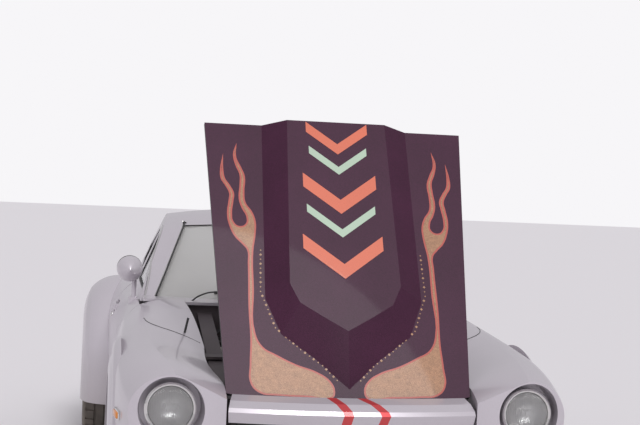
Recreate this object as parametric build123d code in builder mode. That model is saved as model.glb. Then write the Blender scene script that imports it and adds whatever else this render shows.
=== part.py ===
from build123d import *
import os
from collections import namedtuple
from math import asin, cos, degrees, radians, sin

os.makedirs("parts", exist_ok=True)

# Driving dimensions in millimetres: +X is forward, +Y the car's left, +Z up
wheelbase = 2305
front_overhang = 790
rear_overhang = 1020
body_width = 1630
rear_arch_width = 1900
front_arch_width = 1668
roof_height = 1290
roof_crown_radius = 3300
skin = 12
roof_wall = 34
glass_wall = 5
glass_inset = 8
shut_gap = 6
seat_gap = 0.3
pane_gap = 0.8

tyre_radius = 315
front_tyre_width = 205
rear_tyre_width = 240
rim_radius = 184
arch_radius = 354
front_track_outer = 1632
rear_track_outer = 1874
spindle_radius = 15
running_gap = 0.05

hood_length = 1106
hood_front_half = 436
hood_rear_half = 506
hood_front_bow = 50
hood_open_angle = 59.5
hood_closed_rise = 204
hood_hinge_ahead = 578
hood_hinge_z = 697
hood_wall = 18
hood_skin = 4
hood_frame_depth = 14
bulge_height = 48

door_front_back = 640
door_rear_back = 1700
door_low_z = 250
door_wall = 66
door_hinge_y = 812
door_shut_slope = 0.27
belt_z = 860

lamp_ahead = 642
lamp_y = 628
lamp_z = 651
lamp_radius = 90
scoop_radius = 106

# Places worked out from them
length = wheelbase + front_overhang + rear_overhang
front_axle = length / 2 - front_overhang
rear_axle = front_axle - wheelbase
half = body_width / 2
door_front = front_axle - door_front_back
door_rear = front_axle - door_rear_back
door_middle = (door_front + door_rear) / 2
nose = front_axle + front_overhang - 72
tail = rear_axle - rear_overhang + 60
crown_axis_z = roof_height - roof_crown_radius
hood_hinge = front_axle + hood_hinge_ahead
hood_closed_angle = degrees(asin(hood_closed_rise / hood_length))
hood_rear = hood_hinge - hood_length * cos(radians(hood_closed_angle))
hood_rear_z = hood_hinge_z + hood_closed_rise
cowl_front = front_axle - 528
nose_plan_radius = (hood_front_half**2 + hood_front_bow**2) / (2 * hood_front_bow)
tail_plan_radius = 2400
front_wheel_y = (front_track_outer - front_tyre_width) / 2
rear_wheel_y = (rear_track_outer - rear_tyre_width) / 2

# The half section of the body below the glass, station by station from the nose to the tail:
# inner edge, crest of the shoulder, widest point (how far inside half the width), lower edge,
# and how round the shoulder is.
Station = namedtuple(
    "Station", "x inner_y inner_z crest_y crest_z side_in side_z low_in low_z shoulder"
)
stations = [
    Station(front_axle + 700, 432, 652, 615, 768, 62, 640, 92, 484, 0.20),
    Station(front_axle + 450, 438, 722, 652, 806, 14, 672, 28, 400, 0.20),
    Station(front_axle, 468, 805, 690, 840, 0, 700, 12, 250, 0.20),
    Station(door_front, 500, 905, 702, 880, 0, 660, 36, 244, 0.13),
    Station(door_middle, 660, 900, 716, 873, 0, 645, 40, 244, 0.11),
    Station(door_rear, 660, 905, 720, 880, 0, 655, 36, 244, 0.12),
    Station(rear_axle, 640, 916, 722, 893, 0, 690, 15, 260, 0.16),
    Station(rear_axle - 560, 600, 880, 690, 852, 25, 680, 45, 330, 0.18),
    Station(tail - 20, 560, 812, 640, 796, 95, 670, 120, 420, 0.20),
]


def save(piece, name):
    """Names a finished piece and writes it."""
    piece.label = name
    export_step(piece, f"parts/{name}.step")


def bulged(a, b, ratio):
    """The middle point of an arc from a to b that stands out to the left by a share of its chord."""
    return (
        (a[0] + b[0]) / 2 - (b[1] - a[1]) * ratio,
        (a[1] + b[1]) / 2 + (b[0] - a[0]) * ratio,
    )


def side_section(row, inset, spill):
    """The closed half section at one station, drawn inset, with its open edges spilled outwards."""
    inner = (row.inner_y, row.inner_z - inset)
    crest = (row.crest_y - 0.3 * inset, row.crest_z - inset)
    side = (half - row.side_in - inset, row.side_z)
    low = (half - row.low_in - inset, row.low_z - spill)
    with BuildSketch(Plane.YZ.offset(row.x)) as section:
        with BuildLine():
            Line((inner[0] - spill, low[1]), (inner[0] - spill, inner[1]))
            if spill:
                Line((inner[0] - spill, inner[1]), inner)
            ThreePointArc(inner, bulged(inner, crest, 0.06), crest)
            ThreePointArc(crest, bulged(crest, side, row.shoulder), side)
            ThreePointArc(side, bulged(side, low, 0.03), low)
            Line(low, (inner[0] - spill, low[1]))
        make_face()
    return section.sketch


def side_body(rows, inset, spill=0):
    """The left half of the body below the glass as one solid, inset from its skin."""
    with BuildPart() as body:
        loft([side_section(row, inset, spill) for row in rows])
    return body.part


def between(first, second, x):
    """The station at x on the straight way from one station to the next."""
    share = (x - first.x) / (second.x - first.x)
    return Station(*[a + (b - a) * share for a, b in zip(first, second)])


outer_side = side_body(stations, 0)
hollow_rows = [between(stations[0], stations[1], front_axle + 520)] + stations[1:]
inner_side = side_body(hollow_rows, skin, 80)
door_back_side = side_body(hollow_rows, door_wall, 80)


def plan_prism(points, low, high):
    """A block with the given outline seen from above."""
    with BuildPart() as block:
        with BuildSketch(Plane.XY.offset(low)):
            with BuildLine():
                Polyline(*points, close=True)
            make_face()
        extrude(amount=high - low)
    return block.part


def side_prism(points, low, high):
    """A block with the given outline (x, z) seen from the side, from y low to y high."""
    with BuildPart() as block:
        with BuildSketch(Plane.XZ.offset(-high)):
            with BuildLine():
                Polyline(*points, close=True)
            make_face()
        extrude(amount=high - low)
    return block.part


def front_prism(points, low, high):
    """A block with the given outline (y, z) seen from the front, from x low to x high."""
    with BuildPart() as block:
        with BuildSketch(Plane.YZ.offset(low)):
            with BuildLine():
                Polyline(*points, close=True)
            make_face()
        extrude(amount=high - low)
    return block.part


def box(x, y, z):
    """A plain block between the given limits."""
    with BuildPart() as block:
        with BuildSketch(Plane.XY.offset(z[0])):
            with Locations(((x[0] + x[1]) / 2, (y[0] + y[1]) / 2)):
                Rectangle(x[1] - x[0], y[1] - y[0])
        extrude(amount=z[1] - z[0])
    return block.part


def cross_rod(x, z, radius, low, high):
    """A round rod across the car."""
    with BuildPart() as rod:
        with BuildSketch(Plane.XZ.offset(-high)):
            with Locations((x, z)):
                Circle(radius)
        extrude(amount=high - low)
    return rod.part


def upright_rod(x, y, radius, low, high):
    """An upright round rod."""
    with BuildPart() as rod:
        with BuildSketch(Plane.XY.offset(low)):
            with Locations((x, y)):
                Circle(radius)
        extrude(amount=high - low)
    return rod.part


def long_rod(y, z, radius, low, high):
    """A round rod along the car."""
    with BuildPart() as rod:
        with BuildSketch(Plane.YZ.offset(low)):
            with Locations((y, z)):
                Circle(radius)
        extrude(amount=high - low)
    return rod.part


def both_sides(piece):
    """A left-hand piece and its mirror image, as one part."""
    with BuildPart() as pair:
        add(piece)
        mirror(piece, about=Plane.XZ)
    return pair.part


def right_hand(piece):
    """The mirror image of a left-hand piece."""
    with BuildPart() as other:
        mirror(piece, about=Plane.XZ)
    return other.part


# Glasshouse: one profile along the centre line, turned about a long axis under the floor, so that
# windshield, roof and hatch share a crown, and cut by leaning sides.
def crowned(profile, inset):
    """The solid under a centre-line profile, crowned across the car."""
    spread = 16
    lean = radians(spread)
    section = Plane(
        origin=(0, 0, crown_axis_z), x_dir=(1, 0, 0), z_dir=(0, -cos(lean), sin(lean))
    )
    cowl, header, top, rear_header, mid, end = [
        (x, z - crown_axis_z - inset) for x, z in profile
    ]
    floor = belt_z - 130 - crown_axis_z
    with BuildPart() as solid:
        with BuildSketch(section):
            with BuildLine():
                Line((cowl[0] + 120, floor), (cowl[0] + 60, cowl[1] - 28))
                Line((cowl[0] + 60, cowl[1] - 28), header)
                ThreePointArc(header, top, rear_header)
                ThreePointArc(rear_header, mid, end)
                Line(end, (end[0], floor))
                Line((end[0], floor), (cowl[0] + 120, floor))
            make_face()
        revolve(axis=Axis((0, 0, crown_axis_z), (1, 0, 0)), revolution_arc=2 * spread)
    return solid.part


roof_profile = [
    (front_axle - 640, 900),
    (front_axle - 1340, 1232),
    (front_axle - 1740, roof_height),
    (front_axle - 2150, 1262),
    (rear_axle - 400, 1066),
    (tail - 10, 850),
]
# Leaning sides of the glasshouse: half widths at the belt and at the drip rail
Girth = namedtuple("Girth", "x at_belt at_rail")
girths = [
    Girth(front_axle - 560, 690, 566),
    Girth(front_axle - 1500, 690, 562),
    Girth(rear_axle, 668, 530),
    Girth(tail - 60, 588, 470),
]
rail_z = 1215
# Behind this place the sides run down to the rear quarters, which fall away towards the tail
glass_foot_back = rear_axle - 570
tail_foot_z = 780


def leaning_sides(inset):
    """The solid between the leaning sides of the glasshouse."""
    with BuildPart() as solid:
        faces = []
        for g in girths:
            slope = (g.at_belt - g.at_rail) / (rail_z - 900)
            low, high = 700, 1400
            y_low = g.at_belt + slope * (900 - low) - inset
            y_high = g.at_belt - slope * (high - 900) - inset
            with BuildSketch(Plane.YZ.offset(g.x)) as face:
                with BuildLine():
                    Polyline(
                        (-y_low, low), (y_low, low), (y_high, high), (-y_high, high), close=True
                    )
                make_face()
            faces.append(face.sketch)
        loft(faces)
    return solid.part


def glasshouse(inset):
    """The glasshouse as one solid, inset from its outer faces."""
    with BuildPart() as solid:
        add(crowned(roof_profile, inset))
        add(leaning_sides(inset), mode=Mode.INTERSECT)
        add(box((glass_foot_back, length), (-half, half), (700, belt_z)), mode=Mode.SUBTRACT)
        add(box((-length, length), (-half, half), (tail_foot_z, 1500)), mode=Mode.INTERSECT)
    return solid.part


with BuildPart() as glasshouse_shell:
    add(glasshouse(0))
    add(glasshouse(roof_wall), mode=Mode.SUBTRACT)
with BuildPart() as glass_shell:
    add(glasshouse(glass_inset))
    add(glasshouse(glass_inset + glass_wall), mode=Mode.SUBTRACT)


# Doors: outlines seen from above and from the side, grown for the opening or shrunk for the door
pillar_foot = door_front - 222
pillar_y = 700
frame_outline = [(-222, 0), (-712, 210), (-802, 248), (-1012, 266)]


def door_rear_x(y, grow):
    """Where the slanted shut face at the door's rear lies, at a distance across the car."""
    return door_rear - grow + door_shut_slope * (door_hinge_y - y)


def door_block(grow):
    """The space of the left door; above the belt it keeps behind the windshield pillar."""
    front = door_front + grow
    foot = pillar_foot + grow
    upper = [(door_front + x + grow, 912 + z + grow) for x, z in frame_outline]
    with BuildPart() as block:
        add(
            plan_prism(
                [
                    (front, pillar_y - grow),
                    (front, 1000),
                    (door_rear_x(1000, grow), 1000),
                    (door_rear_x(380, grow), 380),
                    (foot, 380),
                    (foot, pillar_y - grow),
                ],
                door_low_z - grow,
                1400,
            )
        )
        add(
            side_prism(
                [(front, 100), (front, upper[0][1]), *upper, (door_rear - 100, upper[-1][1]),
                 (door_rear - 100, 100)],
                380,
                1000,
            ),
            mode=Mode.INTERSECT,
        )
    return block.part


def window_block(edge):
    """The daylight opening of the left door, standing back by an edge from the door frame."""
    upper = [(door_front + x - edge, 912 + z - edge) for x, z in frame_outline[1:]]
    with BuildPart() as block:
        add(
            side_prism(
                [(pillar_foot - 5 - 3 * edge, 898 + edge), *upper, (door_rear - 100, upper[-1][1]),
                 (door_rear - 100, 898 + edge)],
                380,
                720,
            )
        )
        add(
            plan_prism(
                [
                    (length / 2, 380),
                    (length / 2, 800),
                    (door_rear_x(800, -edge), 800),
                    (door_rear_x(380, -edge), 380),
                ],
                800,
                1300,
            ),
            mode=Mode.INTERSECT,
        )
    return block.part


door_opening = door_block(shut_gap / 2)
door_space = door_block(-shut_gap / 2)

# Arch flares, turned about the wheel's axle
Flare = namedtuple("Flare", "axle outer edge_r shoulder_r shoulder_y root_r root_y")
front_flare = Flare(front_axle, front_arch_width / 2, arch_radius, 430, 822, 500, 790)
rear_flare = Flare(rear_axle, rear_arch_width / 2, arch_radius, 492, 914, 562, 728)


def arch_flare(flare, low):
    """The swollen lip over a wheel, down to a given height."""
    lip = (flare.outer, tyre_radius + flare.edge_r)
    shoulder = (flare.shoulder_y, tyre_radius + flare.shoulder_r)
    root = (flare.root_y, tyre_radius + flare.root_r)
    with BuildPart() as ring:
        with BuildSketch(Plane.YZ.offset(flare.axle)):
            with BuildLine():
                Line((half - 30, lip[1]), lip)
                ThreePointArc(lip, bulged(lip, shoulder, -0.06), shoulder)
                ThreePointArc(shoulder, bulged(shoulder, root, -0.14), root)
                Line(root, (half - 30, lip[1]))
            make_face()
        revolve(axis=Axis((flare.axle, 0, tyre_radius), (0, 1, 0)))
        add(box((-length, length), (0, 1000), (-tyre_radius, low)), mode=Mode.SUBTRACT)
    return ring.part


def wheel_well(axle, inner_y):
    """The round space that a wheel turns in."""
    with BuildPart() as well:
        with BuildSketch(Plane.XZ.offset(-1000)):
            with Locations((axle, tyre_radius)):
                Circle(arch_radius)
        extrude(amount=1000 - inner_y)
    return well.part


with BuildPart() as side_skin:
    add(outer_side)
    add(inner_side, mode=Mode.SUBTRACT)

# Front fender: swept-back tip with a scoop round the lamp
with BuildPart() as fender_zone:
    with BuildSketch(Plane.XY.offset(120)):
        with BuildLine():
            Line(
                (door_front + shut_gap / 2, hood_rear_half + shut_gap),
                (door_front + shut_gap / 2, 900),
            )
            Line((door_front + shut_gap / 2, 900), (front_axle + 520, 900))
            Line((front_axle + 520, 900), (front_axle + 600, 820))
            ThreePointArc(
                (front_axle + 600, 820),
                (front_axle + 688, 620),
                (front_axle + 664, hood_front_half + shut_gap - 2),
            )
            Polyline(
                (front_axle + 664, hood_front_half + shut_gap - 2),
                (hood_hinge, hood_front_half + shut_gap),
                (cowl_front, hood_rear_half + shut_gap),
                (door_front + shut_gap / 2, hood_rear_half + shut_gap),
            )
        make_face()
    extrude(amount=900)
with BuildPart() as fender_left:
    add(side_skin.part)
    add(fender_zone.part, mode=Mode.INTERSECT)
    add(arch_flare(front_flare, 250))
    add(wheel_well(front_axle, 300), mode=Mode.SUBTRACT)
    with BuildSketch(Plane.YZ.offset(front_axle + 720)):
        with Locations((lamp_y, lamp_z)):
            Circle(scoop_radius + 10)
    with BuildSketch(Plane.YZ.offset(front_axle + lamp_ahead - 60)):
        with Locations((lamp_y, lamp_z)):
            Circle(scoop_radius)
    loft(mode=Mode.SUBTRACT)
save(fender_left.part, "front_fender_left")
with BuildPart() as fender_right:
    add(right_hand(fender_left.part))
save(fender_right.part, "front_fender_right")


def round_end(front, radius, inset, height):
    """A tall round block whose edge is the curve of the nose or the tail seen from above."""
    centre = front - radius if front > 0 else front + radius
    with BuildPart() as drum:
        with BuildSketch(Plane.XY):
            with Locations((centre, 0)):
                Circle(radius - inset)
        extrude(amount=height)
    return drum.part


# The hatch seen from above, between the rear quarters
hatch_front = front_axle - 2168
hatch_end = tail - 60


def hatch_block(edge):
    """The hatch seen from above, standing in by an edge."""
    return plan_prism(
        [
            (hatch_front - edge, 486 - edge),
            (rear_axle - 500, 522 - edge),
            (hatch_end + edge, 500 - edge),
            (hatch_end + edge, -500 + edge),
            (rear_axle - 500, -522 + edge),
            (hatch_front - edge, -486 + edge),
        ],
        600,
        1400,
    )


# Rear quarter with the wide flare, up to the door opening and back to the tail panel
tail_wall = 14
latch_low, latch_high = 560, 640
latch_plate = plan_prism(
    [
        (door_rear_x(half - skin + 1, shut_gap / 2 + 2), half - skin + 1),
        (door_rear_x(half - skin + 1, seat_gap - shut_gap / 2), half - skin + 1),
        (door_rear_x(half - 5, seat_gap - shut_gap / 2), half - 5),
        (door_rear_x(half - 5, shut_gap / 2 + 2), half - 5),
    ],
    latch_low,
    latch_high,
)
with BuildPart() as quarter_left:
    add(side_skin.part)
    add(box((tail - 30, door_rear + 120), (380, 1000), (100, 1000)), mode=Mode.INTERSECT)
    add(arch_flare(rear_flare, 250))
    add(round_end(tail, tail_plan_radius, tail_wall, 1000), mode=Mode.INTERSECT)
    add(wheel_well(rear_axle, 300), mode=Mode.SUBTRACT)
    add(door_opening, mode=Mode.SUBTRACT)
    add(
        box((door_rear + shut_gap, door_rear + 300), (300, 1000), (0, 1000)),
        mode=Mode.SUBTRACT,
    )
    add(hatch_block(0), mode=Mode.SUBTRACT)
    add(latch_plate)
save(quarter_left.part, "rear_quarter_left")
with BuildPart() as quarter_right:
    add(right_hand(quarter_left.part))
save(quarter_right.part, "rear_quarter_right")


# Openings of the glasshouse: windshield and quarter windows
def windshield_block(edge):
    """The windshield's opening, standing in by an edge."""
    return front_prism(
        [
            (-636 + edge, 885),
            (636 - edge, 885),
            (478 - edge, 1205 - edge),
            (0, 1238 - edge),
            (-478 + edge, 1205 - edge),
        ],
        front_axle - 1500,
        front_axle - 500,
    )


def quarter_window_block(edge):
    """The left rear side window, pointed at its rear end."""
    return side_prism(
        [
            (door_rear - 62 - edge, 935 + edge / 2),
            (door_rear - 10 - edge, 1160 - edge),
            (door_rear - 130, 1168 - edge),
            (door_rear - 430 + edge, 1060),
            (door_rear - 440 + edge, 985 + edge / 2),
        ],
        380,
        720,
    )


body_at_tail = both_sides(outer_side)
body_at_tail = body_at_tail & box((tail - 60, glass_foot_back), (-half, half), (100, belt_z))
with BuildPart() as hatch_hinges:
    add(glasshouse(8))
    add(glasshouse(roof_wall), mode=Mode.SUBTRACT)
    add(
        both_sides(
            box((hatch_front - shut_gap + seat_gap, hatch_front + 2), (240, 310), (1000, 1400))
        ),
        mode=Mode.INTERSECT,
    )
with BuildPart() as roof_shell:
    add(glasshouse_shell.part)
    add(windshield_block(0), mode=Mode.SUBTRACT)
    add(hatch_block(0), mode=Mode.SUBTRACT)
    add(body_at_tail, mode=Mode.SUBTRACT)
    for side in (1, -1):
        for zone in (door_opening, quarter_window_block(0), quarter_left.part):
            if side == 1:
                add(zone, mode=Mode.SUBTRACT)
            else:
                add(right_hand(zone), mode=Mode.SUBTRACT)
    add(box((front_axle - 700, length), (-half, half), (0, 1400)), mode=Mode.SUBTRACT)
    add(box((pillar_foot - 20, length), (-half, half), (0, 882)), mode=Mode.SUBTRACT)
    add(round_end(tail, tail_plan_radius, tail_wall, 1400), mode=Mode.INTERSECT)
    add(hatch_hinges.part)
save(roof_shell.part.solids().sort_by(SortBy.VOLUME)[-1], "roof_shell")

with BuildPart() as windshield:
    add(glass_shell.part)
    add(windshield_block(seat_gap), mode=Mode.INTERSECT)
save(windshield.part, "windshield")

with BuildPart() as quarter_pane:
    add(glass_shell.part)
    add(quarter_window_block(seat_gap), mode=Mode.INTERSECT)
with BuildPart() as quarter_windows:
    add(both_sides(quarter_pane.part))
save(quarter_windows.part, "quarter_windows")

hatch_border = 62
with BuildPart() as hatch:
    add(glasshouse_shell.part)
    add(hatch_block(shut_gap), mode=Mode.INTERSECT)
    add(round_end(tail, tail_plan_radius, 0, 1400), mode=Mode.INTERSECT)
    add(
        plan_prism(
            [
                (hatch_front - 70, 486 - hatch_border),
                (rear_axle - 470, 516 - hatch_border),
                (rear_axle - 470, -516 + hatch_border),
                (hatch_front - 70, -486 + hatch_border),
            ],
            600,
            1400,
        ),
        mode=Mode.SUBTRACT,
    )
save(hatch.part, "hatch")
with BuildPart() as hatch_glass:
    add(glass_shell.part)
    add(
        plan_prism(
            [
                (hatch_front - 70 - seat_gap, 486 - hatch_border - seat_gap),
                (rear_axle - 470 + seat_gap, 516 - hatch_border - seat_gap),
                (rear_axle - 470 + seat_gap, -516 + hatch_border + seat_gap),
                (hatch_front - 70 - seat_gap, -486 + hatch_border + seat_gap),
            ],
            600,
            1400,
        ),
        mode=Mode.INTERSECT,
    )
save(hatch_glass.part, "hatch_glass")

# Doors
with BuildPart() as window_frame:
    add(glasshouse_shell.part)
    add(window_block(20), mode=Mode.SUBTRACT)
    add(box((-length, length), (300, 1000), (0, 1400)), mode=Mode.INTERSECT)
# Pull handle: a bar on two feet over a finger pocket in the door's shoulder
handle_z, handle_y, handle_slope = 786, half - 27, -0.48
handle_rear, handle_length, handle_height = door_rear + 78, 168, 28
handle_proud, handle_thick, handle_foot, handle_edge = 15, 8, 22, 3
pocket_height, pocket_depth = 54, 18


def handle_strip(set_in, height, low, high):
    """A block along the door at the handle, between two distances out from the skin."""
    corners = []
    for z, out in ((-height / 2, low), (height / 2, low), (height / 2, high), (-height / 2, high)):
        corners.append((handle_y + out + handle_slope * z, handle_z + z))
    return front_prism(corners, handle_rear + set_in, handle_rear + handle_length - set_in)


with BuildPart() as handle:
    add(handle_strip(0, handle_height, -6, handle_proud))
    fillet(handle.edges().filter_by(Axis.X).group_by(Axis.Y)[-1], radius=handle_edge)
    add(
        handle_strip(handle_foot, handle_height + 20, -30, handle_proud - handle_thick),
        mode=Mode.SUBTRACT,
    )
with BuildPart() as door_left:
    add(outer_side)
    add(door_back_side, mode=Mode.SUBTRACT)
    add(box((front_axle - 2100, door_front + 50), (652, 1000), (0, 1000)), mode=Mode.INTERSECT)
    add(window_frame.part)
    add(door_space, mode=Mode.INTERSECT)
    add(handle_strip(handle_foot + 2, pocket_height, -pocket_depth, 40), mode=Mode.SUBTRACT)
    add(handle.part)
save(door_left.part, "door_left")
with BuildPart() as door_right:
    add(right_hand(door_left.part))
save(door_right.part, "door_right")
with BuildPart() as door_glass_left:
    add(glass_shell.part)
    add(window_block(20 + pane_gap), mode=Mode.INTERSECT)
save(door_glass_left.part, "door_glass_left")
with BuildPart() as door_glass_right:
    add(right_hand(door_glass_left.part))
save(door_glass_right.part, "door_glass_right")


# Strips bent round the nose and the tail: a profile of (distance from the tip, z), turned about a
# far upright axis
def bent_strip(tip, radius, half_span, profile, corner=0):
    """A strip with the given profile, curved across the car at its front or rear."""
    ahead = 1 if tip > 0 else -1
    centre = tip - ahead * radius
    spread = degrees(asin(half_span / radius))
    start = radians(-spread if ahead > 0 else 180 - spread)
    section = Plane(
        origin=(centre, 0, 0),
        x_dir=(cos(start), sin(start), 0),
        z_dir=(sin(start), -cos(start), 0),
    )
    with BuildPart() as strip:
        with BuildSketch(section):
            with BuildLine():
                points = [(radius - inwards, z) for inwards, z in profile]
                if corner:
                    FilletPolyline(*points, close=True, radius=corner)
                else:
                    Polyline(*points, close=True)
            make_face()
        revolve(axis=Axis((centre, 0, 0), (0, 0, 1)), revolution_arc=2 * spread)
    return strip.part


# Nose panel, from the hood's front edge over the bright lip to the top of the grille
nose_half = hood_front_half - 2
nose_wall = 9
grille_low, grille_high = 486, 608
with BuildPart() as nose_panel:
    add(
        bent_strip(
            nose,
            nose_plan_radius,
            nose_half,
            [
                (87, 694),
                (40, 680),
                (8, 660),
                (0, 646),
                (14, grille_high + seat_gap),
                (64, grille_high + seat_gap),
                (64, grille_high + 5),
                (13 + nose_wall, grille_high + 5),
                (nose_wall, 643),
                (14, 650),
                (40, 670),
                (87, 684),
            ],
        )
    )
save(nose_panel.part, "nose_panel")

# Grille of slats in a frame under the nose
grille_half = 404
slat_pitch = 20
with BuildPart() as grille:
    slat_tip = nose - 46
    for z in (grille_low, grille_high - 8):
        add(bent_strip(slat_tip + 8, nose_plan_radius, grille_half,
                       [(0, z), (0, z + 8), (26, z + 8), (26, z)]))
    slats = int((grille_high - grille_low - 20) / slat_pitch)
    for n in range(1, slats + 1):
        z = grille_low + n * slat_pitch
        add(bent_strip(slat_tip, nose_plan_radius, grille_half,
                       [(0, z), (3, z + 4), (20, z + 4), (20, z)]))
    for y in (-grille_half + 3, -grille_half / 3, grille_half / 3, grille_half - 9):
        set_back = nose_plan_radius - (nose_plan_radius**2 - y**2) ** 0.5
        x = slat_tip - set_back - 18
        add(box((x - 6, x + 4), (y, y + 6), (grille_low, grille_high)))
save(grille.part, "grille")

# Valance under the grille, wrapping back to the front wheels
valance_half = 786
valance_radius = 1350
with BuildPart() as front_valance:
    add(
        bent_strip(
            nose - 20,
            valance_radius,
            valance_half,
            [
                (70, grille_low - seat_gap),
                (18, grille_low - seat_gap),
                (4, grille_low - 16),
                (0, 400),
                (26, 290),
                (14, 236),
                (26, 230),
                (40, 290),
                (14, 400),
                (18, grille_low - 20),
                (26, grille_low - 10),
                (70, grille_low - 10),
            ],
        )
    )
    add(fender_left.part, mode=Mode.SUBTRACT)
    add(fender_right.part, mode=Mode.SUBTRACT)
save(front_valance.part, "front_valance")

# Slim bumpers on brackets, with the front number plate's two screw holes
plate_hole_y, plate_hole_radius = 89, 3.5
rear_plate_z = 580
bumper_height = 62
front_bumper_z = 398
bumper_half = 660
bumper_radius = 1800
bumper_depth, bumper_edge = 34, 16
bumper_profile = [
    (0, bumper_edge),
    (0, bumper_height - bumper_edge),
    (bumper_edge, bumper_height),
    (bumper_depth, bumper_height),
    (bumper_depth, 0),
    (bumper_edge, 0),
]
bracket_low, bracket_high = 14, 44
with BuildPart() as front_bumper:
    add(
        bent_strip(
            length / 2,
            bumper_radius,
            bumper_half,
            [(x, front_bumper_z + z) for x, z in bumper_profile],
        )
    )
    for y in (-330, 330):
        set_back = bumper_radius - (bumper_radius**2 - y**2) ** 0.5
        add(
            box(
                (nose - 130, length / 2 - set_back - bumper_depth + 1),
                (y - 25, y + 25),
                (front_bumper_z + bracket_low, front_bumper_z + bracket_high),
            )
        )
    add(front_valance.part, mode=Mode.SUBTRACT)
    for y in (-plate_hole_y, plate_hole_y):
        add(
            long_rod(y, front_bumper_z + bumper_height / 2, plate_hole_radius, nose, length),
            mode=Mode.SUBTRACT,
        )
save(front_bumper.part, "front_bumper")

rear_bumper_z = 470
rear_bumper_radius = 1500
with BuildPart() as rear_bumper:
    add(
        bent_strip(
            -length / 2,
            rear_bumper_radius,
            690,
            [(x, rear_bumper_z + z) for x, z in bumper_profile],
        )
    )
    for y in (-330, 330):
        add(
            box(
                (-length / 2 + bumper_depth - 1, tail + 20),
                (y - 25, y + 25),
                (rear_bumper_z + bracket_low, rear_bumper_z + bracket_high),
            )
        )
    add(round_end(tail, tail_plan_radius, -seat_gap, 1400), mode=Mode.SUBTRACT)
save(rear_bumper.part, "rear_bumper")

# Tail panel closing the body's own outline, and the lamps on it
tail_half, tail_low_z = 780, 468
with BuildPart() as hatch_rim:
    add(hatch_block(0))
    add(box((-length, 0), (-half, half), (tail_foot_z - 45, 1400)), mode=Mode.INTERSECT)
    add(crowned(roof_profile, roof_wall + shut_gap), mode=Mode.SUBTRACT)
with BuildPart() as tail_outline:
    add(both_sides(outer_side))
    add(glasshouse(0))
    add(box((tail - 15, tail + 200), (-561, 561), (tail_low_z, tail_foot_z + 1)))
    add(box((-length, length), (-half, half), (0, tail_low_z)), mode=Mode.SUBTRACT)
    add(hatch_rim.part, mode=Mode.SUBTRACT)
with BuildPart() as tail_panel:
    add(
        bent_strip(
            tail,
            tail_plan_radius,
            tail_half,
            [(0, 330), (0, 900), (tail_wall, 900), (tail_wall, 330)],
        )
    )
    add(tail_outline.part, mode=Mode.INTERSECT)
    for y in (-plate_hole_y, plate_hole_y):
        add(
            long_rod(y, rear_plate_z, plate_hole_radius, tail - 50, tail + 50),
            mode=Mode.SUBTRACT,
        )
save(tail_panel.part, "tail_panel")

lamp_low, lamp_high = 610, 720
with BuildPart() as tail_lamp:
    add(
        bent_strip(
            tail - 22,
            tail_plan_radius + 22,
            600,
            [(0, lamp_low + 6), (0, lamp_high - 6), (6, lamp_high), (22 - seat_gap, lamp_high),
             (22 - seat_gap, lamp_low), (6, lamp_low)],
        )
    )
    add(box((tail - 200, tail + 200), (250, 600), (0, 1000)), mode=Mode.INTERSECT)
with BuildPart() as tail_lamps:
    add(both_sides(tail_lamp.part))
save(tail_lamps.part, "tail_lamps")

# Headlamps: a bright ring, a domed lens and a bowl that sits on the back of the scoop
lamp_back = front_axle + lamp_ahead - 60
lens_half, lens_rise = lamp_radius - 14, 19
lens_curve = (lens_half**2 + lens_rise**2) / (2 * lens_rise)
lens_angle = asin(lens_half / lens_curve)
with BuildPart() as headlamp:
    with BuildSketch(Plane.XZ.offset(-lamp_y)):
        with BuildLine():
            Polyline(
                (lamp_back + seat_gap, lamp_z),
                (lamp_back + seat_gap, lamp_z + 60),
                (lamp_back + 30, lamp_z + lamp_radius - 8),
                (lamp_back + 46, lamp_z + lamp_radius),
                (lamp_back + 62, lamp_z + lamp_radius),
                (lamp_back + 66, lamp_z + lamp_radius - 4),
                (lamp_back + 60, lamp_z + lens_half),
            )
            ThreePointArc(
                (lamp_back + 60, lamp_z + lens_half),
                (lamp_back + 60 + lens_rise - lens_curve * (1 - cos(lens_angle / 2)),
                 lamp_z + lens_curve * sin(lens_angle / 2)),
                (lamp_back + 60 + lens_rise, lamp_z),
            )
            Line((lamp_back + 60 + lens_rise, lamp_z), (lamp_back + seat_gap, lamp_z))
        make_face()
    revolve(axis=Axis((lamp_back, lamp_y, lamp_z), (1, 0, 0)))
with BuildPart() as headlamps:
    add(both_sides(headlamp.part))
save(headlamps.part, "headlamps")

# Hood, built where it stands open. Its plane's origin is on the hinge line at the surface.
open_angle = radians(hood_open_angle)
hinge_depth = 16
hood_plane = Plane(
    origin=(hood_hinge, 0, hood_hinge_z),
    x_dir=(-cos(open_angle), 0, sin(open_angle)),
    z_dir=(sin(open_angle), 0, cos(open_angle)),
)


def hood_outline(edge):
    """The hood's outline, standing in by an edge."""
    with BuildSketch() as outline:
        with BuildLine():
            rear_s, rear_t, front_t = hood_length - edge, hood_rear_half - edge, hood_front_half - edge
            Polyline((edge, -front_t), (rear_s, -rear_t), (rear_s, rear_t), (edge, front_t))
            ThreePointArc((edge, front_t), (edge - hood_front_bow, 0), (edge, -front_t))
        make_face()
    return outline.sketch


bulge_base = [(20, 0), (135, 120), (225, 236), (365, 290), (hood_length, 285)]
bulge_top = [(223, 0), (278, 90), (330, 170), (405, 205), (hood_length, 192)]


def bulge_outline(points):
    """A closed outline from one half of it, which starts on the centre line."""
    with BuildSketch() as outline:
        with BuildLine():
            Polyline(*points, *[(s, -t) for s, t in reversed(points[1:])], close=True)
        make_face()
    return outline.sketch


def on_plane(sketch, plane):
    """A sketch drawn flat, placed on a plane."""
    return plane.location * sketch


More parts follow.
